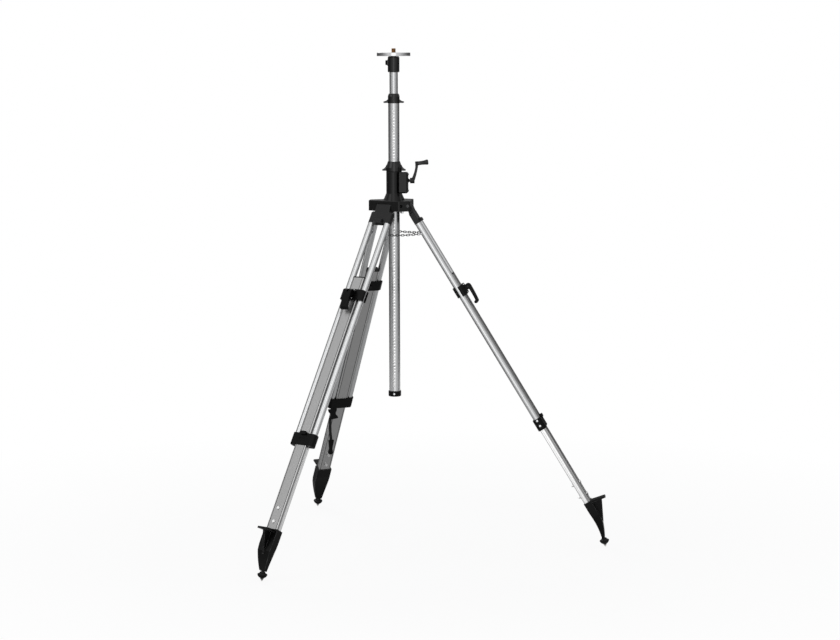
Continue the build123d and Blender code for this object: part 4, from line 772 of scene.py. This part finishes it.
turns = np.linspace(WALL_TURN[0], WALL_TURN[-1], WALL_COLUMNS)
tones = np.interp(turns, WALL_TURN, WALL_TONE)
round_wall("wall_low", turns, WALL_REACH, 0.0, WALL_SPLIT, tones)
round_wall("wall_high", turns, WALL_REACH, WALL_SPLIT, WALL_HIGH, tones + WALL_LIFT)
turns = np.linspace(-BOARD_TURN, BOARD_TURN, BOARD_COLUMNS)
round_wall("front_board", turns, BOARD_REACH, 0.0, BOARD_HIGH, np.full(BOARD_COLUMNS, BOARD_TONE))
for name, values in SHEETS.items():
    floor_sheet(name, *values)
print("wall and sheets stand")

# %% [markdown]
# ## Spreader chains
# Three short chains keep the legs from spreading too far. A link is a round wire bent into an
# oval; the next one is turned a quarter round the chain. All links of a strand share one path with
# a slight sag, so they are computed as one array. A strand is made in two halves, each named for
# the leg at its hook.

# %% Chains of round wire
TUBE_SET, TUBE_R = 0.035, 0.0115
CHAIN_LEVEL = 0.1157
LINKS = 12
WIRE_R, WIRE_SIDES = 0.0012, 8
LINK_HALF_WIDTH, LINK_POINTS = 0.0042, 20
LINK_PLAY = 0.0003
CHAIN_SAG = 0.003
STEM = 0.0018


def strand_ends(leg, other):
    """Where a strand leaves one tube and meets the next: axis + d * r / sin(angle to the tube)."""
    first = on_leg(leg, (0, TUBE_SET, CHAIN_LEVEL))
    last = on_leg(other, (0, -TUBE_SET, CHAIN_LEVEL))
    ahead = unit(last - first)
    inset = TUBE_R / math.sqrt(1 - float(ahead @ leg_axes(leg)[3]) ** 2)
    return first + inset * ahead, last - inset * ahead


def strand_links(start, end):
    """Centre lines of the links: oval (h sign(cos a) + w cos a, w sin a) along a sagging path."""
    ahead = unit(end - start)
    span = np.linalg.norm(end - start) - 2 * STEM
    pitch = (span - 4 * WIRE_R) / LINKS
    along = STEM + 2 * WIRE_R + pitch * (np.arange(LINKS) + 0.5)
    share = along / (span + 2 * STEM)
    middle = start + along[:, None] * ahead
    middle[:, 2] -= CHAIN_SAG * 4 * share * (1 - share)
    slope = unit(ahead - np.outer(CHAIN_SAG * 4 * (1 - 2 * share) / span, [0, 0, 1.0]))
    level = unit(np.cross([0, 0, 1.0], slope))
    upright = np.cross(slope, level)
    turned_up = (np.arange(LINKS) % 2 == 1)[:, None]
    across = np.where(turned_up, upright, level)
    angle = (np.arange(LINK_POINTS) + 0.5) * 2 * np.pi / LINK_POINTS
    bend = LINK_HALF_WIDTH - WIRE_R
    straight = (pitch + LINK_PLAY) / 2 + WIRE_R - bend
    lengthways = bend * np.cos(angle) + straight * np.sign(np.cos(angle))
    paths = (middle[:, None] + lengthways[None, :, None] * slope[:, None]
             + bend * np.sin(angle)[None, :, None] * across[:, None])
    return paths, np.cross(slope, across)


for leg, other in zip(LEGS, LEGS[1:] + LEGS[:1]):
    start, end = strand_ends(leg, other)
    paths, normals = strand_links(start, end)
    half = LINKS // 2
    for owner, hook, part in ((leg, start, slice(0, half)), (other, end, slice(half, LINKS))):
        verts, faces = wire_loops(paths[part], normals[part], WIRE_R, WIRE_SIDES)
        chain = mesh_piece(f"chain_{leg}_{other}_{owner}", verts, faces, FINISH["chain_steel"])
        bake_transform(chain)
        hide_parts("spreader_chains")
print("chain links:", len(LEGS) * LINKS)

# %% [markdown]
# Each strand hangs on a small eye screwed into the tube: a washer against the tube and a short
# round shank that the end link closes over.

# %% Chain eyes
EYE_SIDES = 16
EYE_PROFILE = np.array([(3.6, -1.4, 0), (3.6, 0.3, 0), (3.2, 0.7, 0), (1.9, 0.9, 0), (1.7, 2.6, 0),
                        (2.2, 3.2, 0), (2.2, 3.9, 0), (1.2, 4.4, 0)]) * (0.001, 0.001, 1)
for index, leg in enumerate(LEGS):
    ahead, behind = LEGS[(index + 1) % len(LEGS)], LEGS[index - 1]
    leaving = strand_ends(leg, ahead)
    coming = strand_ends(behind, leg)
    places = np.stack([leaving[0], coming[1]])
    axes = np.stack([leaving[1] - leaving[0], coming[0] - coming[1]])
    shape = turned(EYE_PROFILE, places, axes, EYE_SIDES)
    eyes = mesh_piece(leg + "_chain_eyes", *shape, FINISH["bright_steel"])
    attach(eyes, leg + "_leg")
print("chain eyes:", 2 * len(LEGS))

# %% [markdown]
# ## Screws
# The collars, clamps and gear box are held by screws too small for the solids. A pan head is a
# turned profile that rises, rounds over and drops into a six-sided socket; a hexagon nut is the
# same idea with the hexagon outside. One helper sets a whole group and rides it on its body.

# %% Screws and nuts
PAN_HEAD = np.array([(1.0, -0.25, 0), (1.0, 0.16, 0), (0.93, 0.34, 0), (0.74, 0.50, 0),
                     (0.48, 0.56, 0), (0.44, 0.52, 1), (0.40, 0.20, 1)])
DOME = np.array([(1.0, -0.25, 0), (1.0, 0.12, 0), (0.92, 0.30, 0), (0.70, 0.46, 0),
                 (0.40, 0.55, 0), (0.10, 0.58, 0)])
NUT = np.array([(1.0, -0.1, 1), (1.0, 0.62, 1), (0.90, 0.74, 0.6), (0.66, 0.76, 0), (0.60, 0.70, 0),
                (0.58, 0.98, 0), (0.52, 1.06, 0)])


def screws(name, shape, size, places, axis, body, slot="bright_steel"):
    """A group of screws of one shape, scaled to a head radius in metres, riding on a body."""
    group = mesh_piece(name, *turned(shape * (size, size, 1), places, axis), FINISH[slot])
    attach(group, body)


COLLAR_HALF = 0.0495
COLLAR_SCREW_R, COLLAR_SCREW_LEVELS = 0.0044, (0.9027, 0.9237)
CLAMP_FACE, CLAMP_SCREW_SIDES = 0.022, (-0.0068, 0.0068)
CLAMP_SCREW_R, CLAMP_SCREW_LEVELS = 0.0024, (0.3459, 0.3769)
for leg in LEGS:
    _, out, side, _ = leg_axes(leg)
    spots = [(0, -COLLAR_HALF, level) for level in COLLAR_SCREW_LEVELS]
    screws(leg + "_collar_screws", PAN_HEAD, COLLAR_SCREW_R, on_leg(leg, spots), -side,
           leg + "_leg")
    spots = [(CLAMP_FACE, across, level) for across in CLAMP_SCREW_SIDES
             for level in CLAMP_SCREW_LEVELS]
    screws(leg + "_clamp_screws", PAN_HEAD, CLAMP_SCREW_R, on_leg(leg, spots), out,
           leg + "_lower_leg")
print("leg screws set")

# %% Screws on the crown, gear box and column
NUT_R, NUT_REACH, NUT_BEARINGS = 0.0075, 0.070, (-60, 60, 180)
GEAR_FACE, GEAR_SCREW_R = 0.054, 0.0036
GEAR_INSET_Y, GEAR_INSET_Z = 0.008, 0.009
CAP_SCREW_R, CAP_SCREW_RISE, CAP_SCREW_SINK = 0.0042, 0.010, 0.0002
LOCK_SCREW_R, LOCK_SCREW_SHARE, LOCK_SCREW_SINK = 0.0030, 0.4, 0.0006

bearing = np.radians(NUT_BEARINGS)
crown_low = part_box("crown")[0].z
ring = NUT_REACH * np.cos(bearing), NUT_REACH * np.sin(bearing)
spots = np.column_stack([*ring, np.full(len(bearing), crown_low)])
screws("crown_nuts", NUT, NUT_R, spots, (0, 0, -1.0), "crown")

gear_low, gear_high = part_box("gear_box")
spots = [(GEAR_FACE, y, z) for y in (gear_low.y + GEAR_INSET_Y, gear_high.y - GEAR_INSET_Y)
         for z in (gear_low.z + GEAR_INSET_Z, gear_high.z - GEAR_INSET_Z)]
screws("gear_box_screws", PAN_HEAD, GEAR_SCREW_R, spots, (1.0, 0, 0), "crown", "dark_steel")

cap_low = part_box("end_cap")[0]
spots = [(0, cap_low.y + CAP_SCREW_SINK, cap_low.z + CAP_SCREW_RISE)]
screws("end_cap_screw", DOME, CAP_SCREW_R, spots, (0, -1.0, 0), "column")

lock_low, lock_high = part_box("upper_lock_collar")
level = lock_low.z + LOCK_SCREW_SHARE * (lock_high.z - lock_low.z)
spots = [(0, lock_low.y + LOCK_SCREW_SINK, level)]
screws("lock_set_screw", PAN_HEAD, LOCK_SCREW_R, spots, (0, -1.0, 0), "upper_lock", "dark_steel")
print("crown, gear box and column screws set")

# %% [markdown]
# ## The instrument stud
# The stud on the head has a 5/8 inch thread of eleven turns to the inch. A thread is a grid of
# rings whose radius depends on height minus turn: a ridge that climbs one pitch in each turn.

# %% Threaded stud
STUD_PITCH = 0.0254 / 11
STUD_DEPTH, STUD_CHAMFER, STUD_SINK = 0.0012, 0.0014, 0.0014
STUD_ROWS, STUD_SIDES, STUD_CREASE = 110, 48, 60.0
ROOT_SHARE, FLANK_SHARE = 0.12, 0.76
stud_low, stud_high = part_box("stud")
STUD_R = (stud_high.x - stud_low.x) / 2
plate_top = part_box("head_plate")[1].z
height = np.linspace(plate_top - STUD_SINK, stud_high.z, STUD_ROWS)[:, None]
angle = np.linspace(0, 2 * np.pi, STUD_SIDES, endpoint=False)[None, :]
phase = (height / STUD_PITCH - angle / (2 * np.pi)) % 1
ridge = np.clip((np.abs(2 * phase - 1) - ROOT_SHARE) / FLANK_SHARE, 0, 1)
chamfer = STUD_R - STUD_CHAMFER + (stud_high.z - height)
radius = np.minimum(STUD_R - STUD_DEPTH * (1 - ridge), chamfer)
verts = np.stack([radius * np.cos(angle), radius * np.sin(angle), height + 0 * angle], -1)
faces = ring_faces(STUD_ROWS, STUD_SIDES)
stud = mesh_piece("stud_thread", verts, faces, FINISH["stud_brass"], STUD_CREASE)
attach(stud, "head")
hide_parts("stud")
print("stud radius", round(STUD_R * 1000, 3), "mm, pitch", round(STUD_PITCH * 1000, 3), "mm")

# %% [markdown]
# ## Carrying strap
# A strap hangs from the rear leg's lower collar: a moulded keeper shaped like an hourglass, a
# narrow run of webbing, and a moulded end piece. Each is a strip: a rounded oblong carried down a
# path, with its width changing on the way.

# %% Strap
STRAP_SIDE, STRAP_OUT = 0.031, -0.01425
COLLAR_FOOT = 0.9403
TAB_LENGTH, WEB_LENGTH, END_LENGTH = 0.041, 0.080, 0.057
TAB_HALF_DEPTH, END_HALF_DEPTH, MOULD_ROWS = 0.002, 0.003, 25
WEB_HALF, WEB_HALF_DEPTH, WEB_LAP, WEB_ROWS = 0.0056, 0.0012, 0.004, 33
# share of the length, and half the width there in millimetres
TAB_SHAPE = [(0, 18.5), (0.25, 17.5), (0.45, 11.5), (0.60, 11.0), (0.8, 17.0), (0.93, 19.0),
             (1.0, 17.0)]
END_SHAPE = [(0, 10.0), (0.05, 11.5), (0.5, 7.6), (0.62, 6.8), (0.8, 10.0), (0.92, 9.4), (1.0, 5.0)]
# sideways places down each run, in metres
TAB_SHIFTS, WEB_SHIFTS, END_SHIFTS = [0.001, -0.005], [0.009, 0.0105, 0.006], [0.0065, 0.0105]
STRIP_COLUMNS, STRIP_ROUNDNESS = 20, 0.4


def strip(path, across, half_width, half_depth):
    """A strip down a path: middle + w * c(a) * across + d * s(a) * through, with c and s the
    cosine and sine drawn towards a square by a power, so the section is a rounded oblong."""
    ahead = unit(np.gradient(path, axis=0))
    across = unit(across - (ahead @ across)[:, None] * ahead)
    through = np.cross(ahead, across)
    angle = np.linspace(0, 2 * np.pi, STRIP_COLUMNS, endpoint=False)
    wide = np.sign(np.cos(angle)) * np.abs(np.cos(angle)) ** STRIP_ROUNDNESS
    deep = np.sign(np.sin(angle)) * np.abs(np.sin(angle)) ** STRIP_ROUNDNESS
    verts = (path[:, None] + (half_width[:, None] * wide)[..., None] * across[:, None]
             + (half_depth[:, None] * deep)[..., None] * through[:, None])
    return verts, ring_faces(len(path), STRIP_COLUMNS)


def flat_coordinates(piece, rows, width, length):
    """Write flat coordinates in metres: once across the ring, and down the length."""
    layer = piece.data.uv_layers.new(name="flat")
    corner = np.zeros(len(piece.data.loops), np.int32)
    piece.data.loops.foreach_get("vertex_index", corner)
    across = np.abs(((corner % STRIP_COLUMNS) / STRIP_COLUMNS * 2) - 1) * width
    down = (corner // STRIP_COLUMNS) / rows * length
    layer.data.foreach_set("uv", np.column_stack([across, down]).ravel().astype(np.float32))


strap_low, strap_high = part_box("carry_strap")
hang = on_leg("rear", (STRAP_OUT, STRAP_SIDE, COLLAR_FOOT))
_, out, side, _ = leg_axes("rear")


def hanging_path(start, end, rows, shifts):
    """A run hanging from the collar: straight down, moved sideways by a smooth curve of shifts."""
    share = np.linspace(0, 1, rows)
    curve = np.polyval(np.polyfit(np.linspace(0, 1, len(shifts)), shifts, len(shifts) - 1), share)
    line = hang + np.outer(start + (end - start) * share, [0, 0, -1.0])
    return line + np.outer(curve, side)


def moulded(name, start, end, shifts, shape, half_depth):
    """A moulded run: a strip whose half width follows a shape down its length."""
    shares, widths = zip(*shape)
    half = np.interp(np.linspace(0, 1, MOULD_ROWS), shares, widths) / 1000
    path = hanging_path(start, end, MOULD_ROWS, shifts)
    verts, faces = strip(path, side, half, np.full(MOULD_ROWS, half_depth))
    return mesh_piece(name, verts, faces, FINISH["black_plastic"])


web_end = TAB_LENGTH + WEB_LENGTH
strap_end = web_end + END_LENGTH
tab = moulded("strap_keeper", 0, TAB_LENGTH, TAB_SHIFTS, TAB_SHAPE, TAB_HALF_DEPTH)
path = hanging_path(TAB_LENGTH - WEB_LAP, web_end + WEB_LAP, WEB_ROWS, WEB_SHIFTS)
shape = strip(path, side, np.full(WEB_ROWS, WEB_HALF), np.full(WEB_ROWS, WEB_HALF_DEPTH))
web = mesh_piece("strap_webbing", *shape, FINISH["strap_webbing"])
flat_coordinates(web, WEB_ROWS, 2 * WEB_HALF, WEB_LENGTH + 2 * WEB_LAP)
tail = moulded("strap_end", web_end, strap_end, END_SHIFTS, END_SHAPE, END_HALF_DEPTH)
for piece, slot in ((tab, "black_plastic"), (web, "strap_webbing"), (tail, "black_plastic")):
    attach(piece, "rear_leg")
    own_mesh(piece)
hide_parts("carry_strap")
solid_high = strap_high.z - strap_low.z
print("strap hangs", round(1000 * strap_end), "mm; its solid,", round(1000 * solid_high), "mm")
